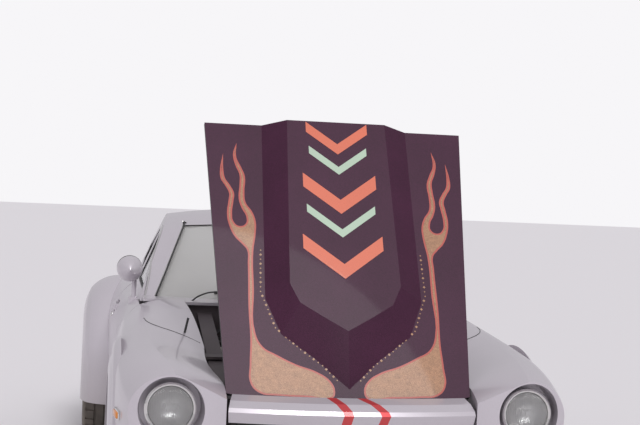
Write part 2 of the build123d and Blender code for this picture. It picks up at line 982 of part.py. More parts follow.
lug_centre, lug_half, lug_radius, pin_radius = 335, 14, 12, 6
hinge_x = hood_hinge - hinge_depth * sin(open_angle)
hinge_z = hood_hinge_z - hinge_depth * cos(open_angle)


hood_panel = extrude(on_plane(hood_outline(0), hood_plane), amount=-hood_wall)
frame_plane = hood_plane.offset(-hood_wall)
hood_frame = extrude(
    on_plane(hood_outline(30), frame_plane) - on_plane(hood_outline(110), frame_plane),
    amount=-hood_frame_depth,
)
hood_bulge = loft(
    [
        on_plane(bulge_outline(bulge_base), hood_plane),
        on_plane(bulge_outline(bulge_top), hood_plane.offset(bulge_height)),
    ],
    ruled=True,
)
with BuildPart() as hood:
    add(hood_panel)
    add(hood_frame)
    add(hood_bulge)
    for side in (-1, 1):
        for y in (side * lug_centre - lug_half - 9, side * lug_centre + lug_half + 9):
            with BuildSketch(hood_plane.offset(-hood_skin)):
                with Locations((10, y)):
                    Rectangle(48, 18)
            extrude(amount=-hood_wall, mode=Mode.SUBTRACT)
            with BuildSketch(frame_plane):
                with Locations((24, y)):
                    Rectangle(76, 18)
            extrude(amount=-hood_wall, mode=Mode.SUBTRACT)
    for y in (-lug_centre, lug_centre):
        add(cross_rod(hinge_x, hinge_z, lug_radius, y - lug_half, y + lug_half))
    for y in (-lug_centre, lug_centre):
        add(
            cross_rod(hinge_x, hinge_z, pin_radius + running_gap, y - lug_half - 1, y + lug_half + 1),
            mode=Mode.SUBTRACT,
        )
save(hood.part, "hood")


def closed_hood_z(x):
    """The height of the closed hood's skin at a distance along the car."""
    return hood_hinge_z + (hood_hinge - x) * hood_closed_rise / (hood_hinge - hood_rear)


# Engine bay: side walls with strut towers, the radiator's frame and the hood's hinge brackets
apron_y, apron_wall = 398, 10
bay_front = front_axle + 500
bay_back = front_axle - 548
firewall_back = bay_back - 12
tower_z = 756
strut_set_in = 143.5
strut_y = front_wheel_y - strut_set_in
shelf_drop = 48
with BuildPart() as apron:
    add(
        side_prism(
            [
                (bay_back, 300),
                (bay_back, closed_hood_z(bay_back) - shelf_drop),
                (bay_front, closed_hood_z(bay_front) - shelf_drop),
                (bay_front, 330),
                (front_axle + 200, 300),
            ],
            apron_y,
            apron_y + apron_wall,
        )
    )
    add(
        side_prism(
            [
                (bay_back, closed_hood_z(bay_back) - shelf_drop),
                (bay_front, closed_hood_z(bay_front) - shelf_drop),
                (bay_front, closed_hood_z(bay_front) - shelf_drop - 8),
                (bay_back, closed_hood_z(bay_back) - shelf_drop - 8),
            ],
            apron_y,
            apron_y + 62,
        )
    )
    with BuildSketch(Plane.XY.offset(tower_z - 10)):
        with Locations((front_axle, (apron_y + strut_y + 80) / 2)):
            Rectangle(190, strut_y + 80 - apron_y)
    extrude(amount=10)
with BuildPart() as engine_bay:
    add(both_sides(apron.part))
    add(box((bay_front - 14, bay_front), (-apron_y, apron_y), (330, 655)))
    add(box((bay_front - 20, bay_front + 10), (-270, 270), (352, 622)), mode=Mode.SUBTRACT)
    for y in (-lug_centre, lug_centre):
        add(cross_rod(hinge_x, hinge_z, pin_radius, y - lug_half - 12, y + lug_half + 12))
        for low in (y - lug_half - 12, y + lug_half + 5):
            add(cross_rod(hinge_x, hinge_z, 7, low, low + 7))
            add(
                side_prism(
                    [
                        (bay_front - 14, 640),
                        (bay_front, 640),
                        (hinge_x + 3, hinge_z - 6),
                        (hinge_x - 3, hinge_z + 6),
                        (bay_front - 14, 660),
                    ],
                    low,
                    low + 7,
                )
            )
save(engine_bay.part, "engine_bay")

# Firewall with the arms that carry the doors, and the cowl panel over it
door_hinge_heights = (415, 705)
firewall_outline = [
    (0, 182), (640, 182), (640, 256), (756, 256), (792, 650), (688, 854), (506, 889)
]
with BuildPart() as firewall:
    add(
        front_prism(
            firewall_outline + [(-y, z) for y, z in reversed(firewall_outline[1:])],
            firewall_back,
            bay_back,
        )
    )
    add(box((firewall_back - 10, bay_back + 10), (-112, 112), (0, 338)), mode=Mode.SUBTRACT)
    for z in door_hinge_heights:
        add(
            both_sides(
                box(
                    (door_front - shut_gap / 2 + seat_gap, firewall_back + 1),
                    (door_hinge_y - 60, door_hinge_y - 46),
                    (z - 22, z + 22),
                )
            )
        )
save(firewall.part, "firewall")

cowl_top, cowl_wall = 905, 12
cowl_half = hood_rear_half + shut_gap - seat_gap
with BuildPart() as cowl_panel:
    add(
        plan_prism(
            [
                (cowl_front, cowl_half),
                (door_front - shut_gap, cowl_half),
                (door_front - shut_gap, 688),
                (door_front - 232, 688),
                (door_front - 232, -688),
                (door_front - shut_gap, -688),
                (door_front - shut_gap, -cowl_half),
                (cowl_front, -cowl_half),
            ],
            cowl_top - cowl_wall,
            cowl_top,
        )
    )
    add(glasshouse(0), mode=Mode.SUBTRACT)
    with Locations((cowl_front - 60, -230, cowl_top), (cowl_front - 60, 230, cowl_top)):
        for step in range(5):
            with Locations((0, (step - 2) * 44, 0)):
                Box(70, 14, 60, mode=Mode.SUBTRACT)
save(cowl_panel.part, "cowl_panel")

# Floor with the tunnel and the step up to the load floor
floor_z, floor_wall = 182, 12
floor_half = 640
load_z = 430
load_front = rear_axle + 225
load_half = 590
tunnel_half, tunnel_z = 130, 344
housing_wall = 12
with BuildPart() as floor_pan:
    floor_back = load_front - floor_wall
    add(
        box(
            (floor_back, firewall_back),
            (-floor_half, floor_half),
            (floor_z, floor_z + floor_wall),
        )
    )
    add(box((floor_back, firewall_back), (-tunnel_half, tunnel_half), (floor_z, tunnel_z)))
    add(box((floor_back, load_front), (-load_half, load_half), (floor_z, load_z)))
    add(
        box(
            (load_front - 60, firewall_back),
            (-tunnel_half + 12, tunnel_half - 12),
            (0, tunnel_z - 12),
        ),
        mode=Mode.SUBTRACT,
    )
save(floor_pan.part, "floor_pan")

# Load floor with its side walls and the housings over the rear wheels
with BuildPart() as load_floor:
    add(box((tail + 24, load_front), (-load_half, load_half), (load_z, load_z + floor_wall)))
    for side in (-1, 1):
        low, high = sorted((side * load_half, side * (load_half + 8)))
        add(box((rear_axle - 560, door_rear - 110), (low, high), (load_z, belt_z - 2)))
    for side in (-1, 1):
        low, high = sorted((side * (load_half + 4), side * 700))
        with BuildSketch(Plane.XZ.offset(-high)):
            with Locations((rear_axle, tyre_radius)):
                Circle(arch_radius + 28)
                Circle(arch_radius + 16, mode=Mode.SUBTRACT)
            with Locations((rear_axle, tyre_radius - 500)):
                Rectangle(1600, 1000, mode=Mode.SUBTRACT)
        extrude(amount=high - low)
    add(round_end(tail, tail_plan_radius, tail_wall + seat_gap, 1400), mode=Mode.INTERSECT)
save(load_floor.part, "load_floor")

with BuildPart() as sill:
    add(
        front_prism(
            [(floor_half, 165), (758, 165), (778, 190), (778, 238), (floor_half, 238)],
            rear_axle + 385,
            firewall_back,
        )
    )
with BuildPart() as sills:
    add(both_sides(sill.part))
save(sills.part, "sills")

# Radiator, engine with gearbox and shaft, exhaust and tank
with BuildPart() as radiator:
    add(box((bay_front - 62, bay_front - 14 - seat_gap), (-262, 262), (360, 600)))
    add(box((bay_front - 66, bay_front - 14 - seat_gap), (-280, 280), (600, 640)))
    add(box((bay_front - 66, bay_front - 14 - seat_gap), (-280, 280), (338, 360)))
    add(upright_rod(bay_front - 42, -200, 16, 640, 652))
save(radiator.part, "radiator")

engine_back = front_axle - 430
engine_front = front_axle + 230
shaft_z = 262
block_half = 105
manifold_z = 500
with BuildPart() as engine:
    add(box((engine_back, engine_front), (-block_half, block_half), (290, 520)))
    add(front_prism([(-80, 225), (80, 225), (100, 290), (-100, 290)], engine_back + 30, front_axle - 160))
    add(box((engine_back + 10, engine_front - 10), (-90, 90), (520, 620)))
    add(
        front_prism(
            [(-78, 620), (78, 620), (78, 660), (52, 692), (-52, 692), (-78, 660)],
            engine_back + 20,
            engine_front - 20,
        )
    )
    add(long_rod(0, 420, 92, engine_front, engine_front + 34))
    for n in range(3):
        x = engine_front - 170 - n * 170
        add(cross_rod(x, 600, 26, 90, 190))
        add(upright_rod(x, 190, 42, 560, 672))
        add(upright_rod(x, 190, 30, 672, 700))
    add(
        box((engine_front - 560, engine_front - 120), (-150, -90), (manifold_z, manifold_z + 60))
    )
    add(long_rod(0, shaft_z + 30, 88, bay_back + 4, engine_back))
    add(long_rod(0, shaft_z, 60, engine_back - 620, bay_back + 4))
    add(long_rod(0, shaft_z, 30, rear_axle + 110 + seat_gap, engine_back - 620))
save(engine.part, "engine")

pipe_y, pipe_z = 210, 150
with BuildPart() as exhaust:
    with BuildLine() as pipe_route:
        FilletPolyline(
            (front_axle - 160, -block_half - 26, manifold_z - seat_gap),
            (front_axle - 160, -block_half - 26, manifold_z - 90),
            (front_axle - 300, -pipe_y, 300),
            (front_axle - 480, -pipe_y, pipe_z),
            (rear_axle - 250, -pipe_y, pipe_z),
            (rear_axle - 400, -350, 250),
            (rear_axle - 520, -350, 250),
            radius=50,
        )
    with BuildSketch(Plane(origin=pipe_route.line @ 0, z_dir=pipe_route.line % 0)):
        Circle(22)
    sweep()
    add(long_rod(-350, 250, 70, rear_axle - 820, rear_axle - 510))
    add(long_rod(-350, 250, 24, tail - 40, rear_axle - 820))
save(exhaust.part, "exhaust")

with BuildPart() as fuel_tank:
    add(box((rear_axle - 760, rear_axle - 420), (-230, 330), (270, load_z - seat_gap)))
    edges_to_round = fuel_tank.edges().filter_by(Axis.X) + fuel_tank.edges().filter_by(Axis.Y)
    chamfer(edges_to_round.group_by(Axis.Z)[0], length=40)
save(fuel_tank.part, "fuel_tank")

# Wheels: centres, bearings and the hub that turns on a spindle
hub_back = 46
hub_radius = 42


def spindle(axle, inner_y, wheel_y):
    """The left spindle, from its carrier into the hub's bore."""
    with BuildPart() as shaft:
        add(cross_rod(axle, tyre_radius, spindle_radius, inner_y, wheel_y + 8))
        add(cross_rod(axle, tyre_radius, 32, inner_y, wheel_y - hub_back - 2))
    return shaft.part


# Front suspension on the body, and the knuckles that steer about the strut
pivot_radius = 10
with BuildPart() as front_arm:
    add(plan_prism([(front_axle - 70, 150), (front_axle + 70, 150), (front_axle + 20, strut_y),
                    (front_axle - 20, strut_y)], 202, 222))
    add(upright_rod(front_axle, strut_y, 22, 196, 230))
    add(upright_rod(front_axle, strut_y, pivot_radius, 230, 262))
    add(upright_rod(front_axle, strut_y, 13, 450, tower_z - 10))
    add(upright_rod(front_axle, strut_y, 50, 642, tower_z - 10))
with BuildPart() as front_suspension:
    add(both_sides(front_arm.part))
    add(box((front_axle - 60, front_axle + 60), (-apron_y + 1, apron_y - 1), (190, 222)))
    for side in (-1, 1):
        low, high = sorted((side * (block_half + seat_gap), side * (block_half + 46)))
        add(box((front_axle - 40, front_axle + 40), (low, high), (222, 330)))
        low, high = sorted((side * (apron_y - 60), side * (apron_y - seat_gap)))
        add(
            side_prism(
                [
                    (front_axle - 50, 222),
                    (front_axle + 50, 222),
                    (front_axle + 40, 330),
                    (front_axle - 40, 330),
                ],
                low,
                high,
            )
        )
    add(cross_rod(front_axle - 105, 250, 20, -300, 300))
    add(box((front_axle - 125, front_axle - 58), (-120, -90), (200, 250)))
    add(box((front_axle - 125, front_axle - 58), (90, 120), (200, 250)))
save(front_suspension.part, "front_suspension")

with BuildPart() as knuckle_left:
    add(upright_rod(front_axle, strut_y, 26, 232, 590))
    add(box((front_axle - 34, front_axle + 34), (strut_y, strut_y + 40), (270, 362)))
    add(box((front_axle - 150, front_axle), (strut_y - 12, strut_y + 12), (276, 296)))
    add(spindle(front_axle, strut_y + 30, front_wheel_y))
    add(cross_rod(front_axle, tyre_radius, 118, strut_y + 46, strut_y + 52))
    add(upright_rod(front_axle, strut_y, pivot_radius + running_gap, 200, 266), mode=Mode.SUBTRACT)
    add(upright_rod(front_axle, strut_y, 13 + running_gap, 440, 620), mode=Mode.SUBTRACT)
save(knuckle_left.part, "knuckle_left")
with BuildPart() as knuckle_right:
    add(right_hand(knuckle_left.part))
save(knuckle_right.part, "knuckle_right")

# Rear suspension: final drive, half shafts, lower arms, struts and hub carriers
rear_strut_set_in = 177
rear_strut_y = rear_wheel_y - rear_strut_set_in
housing_low_z = tyre_radius + ((arch_radius + 16) ** 2 - 26**2) ** 0.5
with BuildPart() as rear_corner:
    add(cross_rod(rear_axle, tyre_radius - 20, 17, 90, rear_strut_y))
    add(box((rear_axle - 40, rear_axle + 40), (rear_strut_y - 24, rear_strut_y + 24), (230, 400)))
    add(upright_rod(rear_axle, rear_strut_y, 26, 400, housing_low_z - 1))
    add(plan_prism([(rear_axle - 130, 120), (rear_axle + 130, 120), (rear_axle + 40, rear_strut_y + 20),
                    (rear_axle - 40, rear_strut_y + 20)], 206, 230))
    add(spindle(rear_axle, rear_strut_y + 20, rear_wheel_y))
with BuildPart() as rear_suspension:
    add(both_sides(rear_corner.part))
    add(box((rear_axle - 110, rear_axle + 110), (-95, 95), (206, 350)))
    add(box((rear_axle - 130, rear_axle + 130), (-125, 125), (206, 230)))
    add(box((rear_axle - 150, rear_axle - 110), (-260, 260), (300, load_z - seat_gap)))
save(rear_suspension.part, "rear_suspension")


def wheel_rim(axle, wheel_y, width):
    """A five-slot alloy wheel with a deep outer dish."""
    flange = width / 2 - 6
    seat = rim_radius - 6
    with BuildPart() as rim:
        with BuildSketch(Plane.YZ.offset(axle)):
            with BuildLine():
                Polyline(
                    (wheel_y - flange, tyre_radius + rim_radius + 4),
                    (wheel_y - flange + 6, tyre_radius + rim_radius + 4),
                    (wheel_y - flange + 6, tyre_radius + seat),
                    (wheel_y + flange - 6, tyre_radius + seat),
                    (wheel_y + flange - 6, tyre_radius + rim_radius + 4),
                    (wheel_y + flange, tyre_radius + rim_radius + 4),
                    (wheel_y + flange, tyre_radius + seat - 6),
                    (wheel_y + flange - 40, tyre_radius + seat - 14),
                    (wheel_y + 34, tyre_radius + seat - 18),
                    (wheel_y + 22, tyre_radius + 128),
                    (wheel_y + 40, tyre_radius + 70),
                    (wheel_y + 42, tyre_radius + 34),
                    (wheel_y + 58, tyre_radius + 28),
                    (wheel_y + 58, tyre_radius),
                    (wheel_y - hub_back, tyre_radius),
                    (wheel_y - hub_back, tyre_radius + hub_radius),
                    (wheel_y + 10, tyre_radius + hub_radius),
                    (wheel_y + 4, tyre_radius + 128),
                    (wheel_y + 4, tyre_radius + seat - 10),
                    (wheel_y - flange, tyre_radius + seat - 10),
                    close=True,
                )
            make_face()
        revolve(axis=Axis((axle, 0, tyre_radius), (0, 1, 0)))
        add(
            cross_rod(axle, tyre_radius, spindle_radius + running_gap, wheel_y - 200, wheel_y + 10),
            mode=Mode.SUBTRACT,
        )
        with BuildSketch(Plane(origin=(axle, wheel_y + 60, tyre_radius), z_dir=(0, 1, 0))):
            with PolarLocations(0, 5):
                with Locations((108, 0)):
                    SlotOverall(74, 30, rotation=90)
        extrude(amount=-70, mode=Mode.SUBTRACT)
    return rim.part


def tyre(axle, wheel_y, width):
    """A closed tyre with rounded shoulders, on the rim's bead seats."""
    bead = width / 2 - 13
    seat = rim_radius - 6 + seat_gap
    tread = width / 2 - 16
    with BuildPart() as ring:
        with BuildSketch(Plane.YZ.offset(axle)):
            with BuildLine():
                Line((wheel_y - bead, tyre_radius + seat), (wheel_y - bead, tyre_radius + rim_radius + 8))
                ThreePointArc(
                    (wheel_y - bead, tyre_radius + rim_radius + 8),
                    (wheel_y - width / 2, tyre_radius * 2 - 62),
                    (wheel_y - tread, tyre_radius * 2 - 8),
                )
                ThreePointArc(
                    (wheel_y - tread, tyre_radius * 2 - 8),
                    (wheel_y, tyre_radius * 2),
                    (wheel_y + tread, tyre_radius * 2 - 8),
                )
                ThreePointArc(
                    (wheel_y + tread, tyre_radius * 2 - 8),
                    (wheel_y + width / 2, tyre_radius * 2 - 62),
                    (wheel_y + bead, tyre_radius + rim_radius + 8),
                )
                Line((wheel_y + bead, tyre_radius + rim_radius + 8), (wheel_y + bead, tyre_radius + seat))
                Line((wheel_y + bead, tyre_radius + seat), (wheel_y - bead, tyre_radius + seat))
            make_face()
        revolve(axis=Axis((axle, 0, tyre_radius), (0, 1, 0)))
    return ring.part


for place, axle, wheel_y, width in (
    ("front", front_axle, front_wheel_y, front_tyre_width),
    ("rear", rear_axle, rear_wheel_y, rear_tyre_width),
):
    rim_left = wheel_rim(axle, wheel_y, width)
    tyre_left = tyre(axle, wheel_y, width)
    save(rim_left, f"rim_{place}_left")
    save(tyre_left, f"tyre_{place}_left")
    save(right_hand(rim_left), f"rim_{place}_right")
    save(right_hand(tyre_left), f"tyre_{place}_right")

# Cabin: two seats, the dashboard with the steering column, and the steering wheel
seat_y, seat_half = 362, 208
seat_back = front_axle - 1700
with BuildPart() as seat:
    with BuildSketch(Plane.XZ.offset(-seat_y - seat_half)):
        with BuildLine():
            FilletPolyline(
                (seat_back + 560, floor_z + floor_wall),
                (seat_back + 566, 400),
                (seat_back + 90, 350),
                (seat_back - 120, 1010),
                (seat_back - 200, 1010),
                (seat_back - 60, floor_z + floor_wall + 60),
                (seat_back - 20, floor_z + floor_wall),
                close=True,
                radius=18,
            )
        make_face()
    extrude(amount=2 * seat_half)
with BuildPart() as seats:
    add(both_sides(seat.part))
save(seats.part, "seats")

column_lean = radians(22)
wheel_centre = (front_axle - 1120, seat_y, 770)
column_plane = Plane(
    origin=wheel_centre,
    x_dir=(0, 1, 0),
    z_dir=(-cos(column_lean), 0, sin(column_lean)),
)
shaft_radius = 9
with BuildPart() as dashboard:
    add(
        side_prism(
            [
                (firewall_back - seat_gap, 800),
                (firewall_back - seat_gap, 852),
                (front_axle - 760, 846),
                (front_axle - 860, 822),
                (front_axle - 900, 780),
                (front_axle - 850, 700),
                (front_axle - 800, 620),
                (front_axle - 740, 620),
                (front_axle - 700, 800),
            ],
            -636,
            636,
        )
    )
    with BuildSketch(column_plane.offset(-40)):
        Circle(26)
    extrude(amount=-400)
    with BuildSketch(column_plane.offset(-60)):
        Circle(shaft_radius)
    extrude(amount=60)
save(dashboard.part, "dashboard")

wheel_ring, wheel_grip = 178, 13
with BuildPart() as steering_wheel:
    rim_plane = Plane(
        origin=wheel_centre, x_dir=(0, 1, 0), z_dir=(sin(column_lean), 0, cos(column_lean))
    )
    with BuildSketch(rim_plane):
        with Locations((wheel_ring, 0)):
            Circle(wheel_grip)
    revolve(axis=Axis(wheel_centre, (-cos(column_lean), 0, sin(column_lean))))
    with BuildSketch(column_plane.offset(-26)):
        Circle(30)
    extrude(amount=36)
    for turn in (90, -20, 200):
        with BuildSketch(column_plane.offset(-6)):
            with PolarLocations(0, 1, start_angle=turn):
                with Locations((96, 0)):
                    Rectangle(150, 30)
        extrude(amount=5)
    with BuildSketch(column_plane.offset(-30)):
        Circle(shaft_radius + running_gap)
    extrude(amount=31, mode=Mode.SUBTRACT)
save(steering_wheel.part, "steering_wheel")

# Bullet mirrors on stalks at the front of each door
mirror_x, mirror_y, mirror_z = front_axle - 960, 742, 1010
with BuildPart() as mirror_left:
    with BuildSketch(Plane.XZ.offset(-mirror_y)):
        with BuildLine():
            Line((mirror_x - 60, mirror_z), (mirror_x - 60, mirror_z + 54))
            Line((mirror_x - 60, mirror_z + 54), (mirror_x - 20, mirror_z + 58))
            ThreePointArc(
                (mirror_x - 20, mirror_z + 58), (mirror_x + 54, mirror_z + 38), (mirror_x + 86, mirror_z)
            )
            Line((mirror_x + 86, mirror_z), (mirror_x - 60, mirror_z))
        make_face()
    revolve(axis=Axis((mirror_x, mirror_y, mirror_z), (1, 0, 0)))
    add(upright_rod(mirror_x - 10, mirror_y - 22, 11, 840, mirror_z - 20))
    add(upright_rod(mirror_x - 10, mirror_y - 22, 24, 840, 884))
    add(door_left.part, mode=Mode.SUBTRACT)
save(mirror_left.part, "mirror_left")
with BuildPart() as mirror_right:
    add(right_hand(mirror_left.part))
save(mirror_right.part, "mirror_right")
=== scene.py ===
from math import atan2, cos, hypot, pi, radians, sin

import bmesh
import bpy
from mathutils import Matrix, Vector
from mathutils.bvhtree import BVHTree


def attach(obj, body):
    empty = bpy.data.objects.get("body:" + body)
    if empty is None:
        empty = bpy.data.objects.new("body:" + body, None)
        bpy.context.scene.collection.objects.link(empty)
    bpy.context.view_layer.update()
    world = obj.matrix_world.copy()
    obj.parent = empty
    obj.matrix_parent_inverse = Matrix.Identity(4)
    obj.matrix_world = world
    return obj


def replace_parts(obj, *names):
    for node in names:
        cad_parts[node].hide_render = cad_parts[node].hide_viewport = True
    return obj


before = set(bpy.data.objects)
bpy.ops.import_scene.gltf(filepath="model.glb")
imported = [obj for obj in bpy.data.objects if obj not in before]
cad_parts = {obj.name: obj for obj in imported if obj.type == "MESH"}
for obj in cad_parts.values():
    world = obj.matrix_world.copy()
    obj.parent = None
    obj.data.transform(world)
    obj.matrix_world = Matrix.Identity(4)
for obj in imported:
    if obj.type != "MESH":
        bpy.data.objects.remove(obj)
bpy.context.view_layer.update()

bpy.context.scene.view_settings.view_transform = "Standard"

# Studio: a pale matt floor that runs out to a white horizon under an even sky, with one broad
# soft light from the front. The camera stands ahead of the car and a little to its right, at
# eye height, as the picture was taken.
photo_width = 640
focal_pixels = 1312
camera_place = Vector((6.3485, -0.898, 1.422))
camera_yaw, camera_pitch, camera_roll = radians(-9.62), radians(1.12), radians(-2.54)
forward = Vector((-cos(camera_yaw) * cos(camera_pitch), -sin(camera_yaw) * cos(camera_pitch),
    -sin(camera_pitch)))
level_right = Vector((-sin(camera_yaw), cos(camera_yaw), 0))
level_down = forward.cross(level_right)
right = level_right * cos(camera_roll) + level_down * sin(camera_roll)
up = level_right * sin(camera_roll) - level_down * cos(camera_roll)


def placed(place, x_way, y_way, z_way):
    """A matrix that stands at a place with its axes along three directions."""
    turn = Matrix((x_way, y_way, z_way)).transposed().to_4x4()
    return Matrix.Translation(place) @ turn


def add_object(name, data):
    """An object in the scene with its data."""
    made = bpy.data.objects.new(name, data)
    bpy.context.scene.collection.objects.link(made)
    return made


camera = add_object("camera", bpy.data.cameras.new("camera"))
camera.data.lens = camera.data.sensor_width * focal_pixels / photo_width
camera.matrix_world = placed(camera_place, right, up, -forward)
bpy.context.scene.camera = camera

sun = add_object("soft_light", bpy.data.lights.new("soft_light", "SUN"))
sun.data.energy = 1.5
sun.data.angle = radians(24)
sun.rotation_euler = (radians(38), radians(22), radians(70))


def add_node(tree, kind, inputs=(), **settings):
    """A node with its settings made and its inputs fed by sockets or set to values."""
    node = tree.nodes.new(kind)
    for name, value in settings.items():
        setattr(node, name, value)
    for name, value in dict(inputs).items():
        if isinstance(value, bpy.types.NodeSocket):
            tree.links.new(value, node.inputs[name])
        elif value is not None:
            node.inputs[name].default_value = value
    return node


sky = bpy.data.worlds.new("sky")
bpy.context.scene.world = sky
sky.use_nodes = True
sky_tree = sky.node_tree
sky_light = sky_tree.nodes["Background"]
sky_light.inputs["Color"].default_value = (0.86, 0.84, 0.88, 1)
sky_light.inputs["Strength"].default_value = 0.62
sky_seen = add_node(sky_tree, "ShaderNodeBackground", {"Color": (0.93, 0.92, 0.94, 1)})
sky_rays = sky_tree.nodes.new("ShaderNodeLightPath")
sky_mix = add_node(sky_tree, "ShaderNodeMixShader", {0: sky_rays.outputs["Is Camera Ray"],
    1: sky_light.outputs[0], 2: sky_seen.outputs[0]})
sky_tree.links.new(sky_mix.outputs[0], sky_tree.nodes["World Output"].inputs[0])

floor_form = bmesh.new()
bmesh.ops.create_grid(floor_form, x_segments=1, y_segments=1, size=60)
floor = add_object("floor", bpy.data.meshes.new("floor"))
floor_form.to_mesh(floor.data)
floor_paint = bpy.data.materials.new("pale_floor")
floor_paint.use_nodes = True
floor_shader = floor_paint.node_tree.nodes["Principled BSDF"]
floor_shader.inputs["Base Color"].default_value = (0.8, 0.78, 0.8, 1)
floor_shader.inputs["Roughness"].default_value = 0.9
floor.data.materials.append(floor_paint)

# Body shell: pressed steel panels in pale silver with a cool cast, sprayed with fine flake under
# a thin clear coat, chalky where the sun has worked on it and dusty towards the sills.
wear_inputs = (
    ("Colour", "Color", (0.5, 0.5, 0.5, 1)),
    ("Patchiness", "Float", 0.1),
    ("Patch scale", "Float", 3),
    ("Flake", "Float", 0),
    ("Dust", "Float", 0.3),
    ("Dust height", "Float", 0.5),
    ("Grain scale", "Float", 400),
)


def math_node(tree, operation, a, b=None):
    """The outcome of a sum on sockets or numbers."""
    return add_node(tree, "ShaderNodeMath", {0: a, 1: b}, operation=operation).outputs[0]


def mixed(tree, factor, a, b):
    """A colour mixed from two, each a socket or a colour."""
    return add_node(tree, "ShaderNodeMix", {0: factor, 6: a, 7: b}, data_type="RGBA").outputs[2]


def fed(material, socket, name):
    """Links a socket to an input of a material's shader."""
    tree = material.node_tree
    tree.links.new(socket, tree.nodes["Principled BSDF"].inputs[name])


def build_wear():
    """Colour that varies in patches, glints of flake, dust that lies low, a fine grain."""
    tree = bpy.data.node_groups.new("wear", "ShaderNodeTree")
    sockets = tree.interface
    for name, kind, value in wear_inputs:
        made = sockets.new_socket(name=name, in_out="INPUT", socket_type="NodeSocket" + kind)
        made.default_value = value
    for name, kind in (("Colour", "Color"), ("Dust", "Float"), ("Grain", "Float")):
        sockets.new_socket(name=name, in_out="OUTPUT", socket_type="NodeSocket" + kind)
    given = tree.nodes.new("NodeGroupInput").outputs
    place = tree.nodes.new("ShaderNodeTexCoord").outputs["Object"]
    patches = add_node(tree, "ShaderNodeTexNoise",
        {"Vector": place, "Scale": given["Patch scale"], "Detail": 6}).outputs["Fac"]
    sway = math_node(tree, "SUBTRACT", patches, 0.5)
    sway = math_node(tree, "MULTIPLY", sway, given["Patchiness"])
    sway = math_node(tree, "MULTIPLY", sway, 2)
    flakes = add_node(tree, "ShaderNodeTexVoronoi", {"Vector": place, "Scale": 900})
    glint = math_node(tree, "SUBTRACT", flakes.outputs["Color"], 0.5)
    glint = math_node(tree, "MULTIPLY", glint, given["Flake"])
    level = math_node(tree, "ADD", math_node(tree, "ADD", sway, glint), 1)
    shaded = add_node(tree, "ShaderNodeHueSaturation", {"Color": given["Colour"], "Value": level})
    apart = add_node(tree, "ShaderNodeSeparateXYZ", {0: place})
    low = math_node(tree, "DIVIDE", apart.outputs["Z"], given["Dust height"])
    low = math_node(tree, "MAXIMUM", math_node(tree, "SUBTRACT", 1, low), 0)
    lying = math_node(tree, "MULTIPLY", low, math_node(tree, "ADD", patches, 0.3))
    lying = math_node(tree, "MINIMUM", math_node(tree, "MULTIPLY", lying, given["Dust"]), 1)
    grain = add_node(tree, "ShaderNodeTexNoise",
        {"Vector": place, "Scale": given["Grain scale"], "Detail": 3}).outputs["Fac"]
    dusty = mixed(tree, lying, shaded.outputs["Color"], (0.3, 0.26, 0.22, 1))
    add_node(tree, "NodeGroupOutput", {"Colour": dusty, "Dust": lying, "Grain": grain})
    return tree


wear = build_wear()


def finish(name, colour, roughness, metallic=0, bump=(0, 400), coat=0, patches=(0.1, 3), flake=0,
        dust=(0, 0.5), clear=0):
    """A material with the shared wear: bump depth and grain, patch strength and scale, dust's
    strength and height, and how clear it is."""
    material = bpy.data.materials.new(name)
    material.use_nodes = True
    tree = material.node_tree
    shader = tree.nodes["Principled BSDF"]
    shader.inputs["Metallic"].default_value = metallic
    shader.inputs["Coat Weight"].default_value = coat
    shader.inputs["Transmission Weight"].default_value = clear
    worn = add_node(tree, "ShaderNodeGroup", node_tree=wear, name="wear")
    values = ((*colour, 1), *patches, flake, *dust, bump[1])
    for socket, value in zip(worn.inputs, values):
        socket.default_value = value
    fed(material, worn.outputs["Colour"], "Base Color")
    rough = math_node(tree, "MULTIPLY", worn.outputs["Dust"], 0.9 - roughness)
    fed(material, math_node(tree, "ADD", rough, roughness), "Roughness")
    if bump[0]:
        rough_skin = add_node(tree, "ShaderNodeBump",
            {"Distance": bump[0], "Height": worn.outputs["Grain"]})
        fed(material, rough_skin.outputs[0], "Normal")
    return material


def dress(material, *names):
    """Gives CAD nodes their finish."""
    for name in names:
        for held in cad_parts[name].material_slots:
            held.material = material


silver = (0.6, 0.56, 0.605)
silver_paint = finish("silver_paint", silver, 0.34, 0.35, coat=0.5, patches=(0.07, 2.2), flake=0.1,
    dust=(0.7, 0.55))
dress(silver_paint, "roof_shell", "hatch", "front_valance", "cowl_panel", "tail_panel", "sills")
for part in ("front_fender", "rear_quarter", "door", "mirror"):
    dress(silver_paint, part + "_left", part + "_right")

# Nose panel: the narrow pressing ahead of the hood, painted with the body, with two red stripes
# sprayed over it from the hood's edge to the grille.
stripe_red = (0.62, 0.055, 0.06, 1)
stripe_half_width = 0.017
stripe_start_x = 1.952
stripes = ((-0.044, 0.55), (0.079, 0.85))
nose_paint = silver_paint.copy()
nose_paint.name = "nose_paint"
nose_tree = nose_paint.node_tree
nose_place = nose_tree.nodes.new("ShaderNodeTexCoord").outputs["Object"]
nose_apart = add_node(nose_tree, "ShaderNodeSeparateXYZ", {0: nose_place})
nose_colour = nose_tree.nodes["wear"].outputs["Colour"]
for start_y, slant in stripes:
    ahead = math_node(nose_tree, "SUBTRACT", nose_apart.outputs["X"], stripe_start_x)
    middle = math_node(nose_tree, "ADD", math_node(nose_tree, "MULTIPLY", ahead, slant), start_y)
    off = math_node(nose_tree, "SUBTRACT", nose_apart.outputs["Y"], middle)
    off = math_node(nose_tree, "ABSOLUTE", off)
    inside = math_node(nose_tree, "LESS_THAN", off, stripe_half_width)
    nose_colour = mixed(nose_tree, inside, nose_colour, stripe_red)
fed(nose_paint, nose_colour, "Base Color")
dress(nose_paint, "nose_panel")

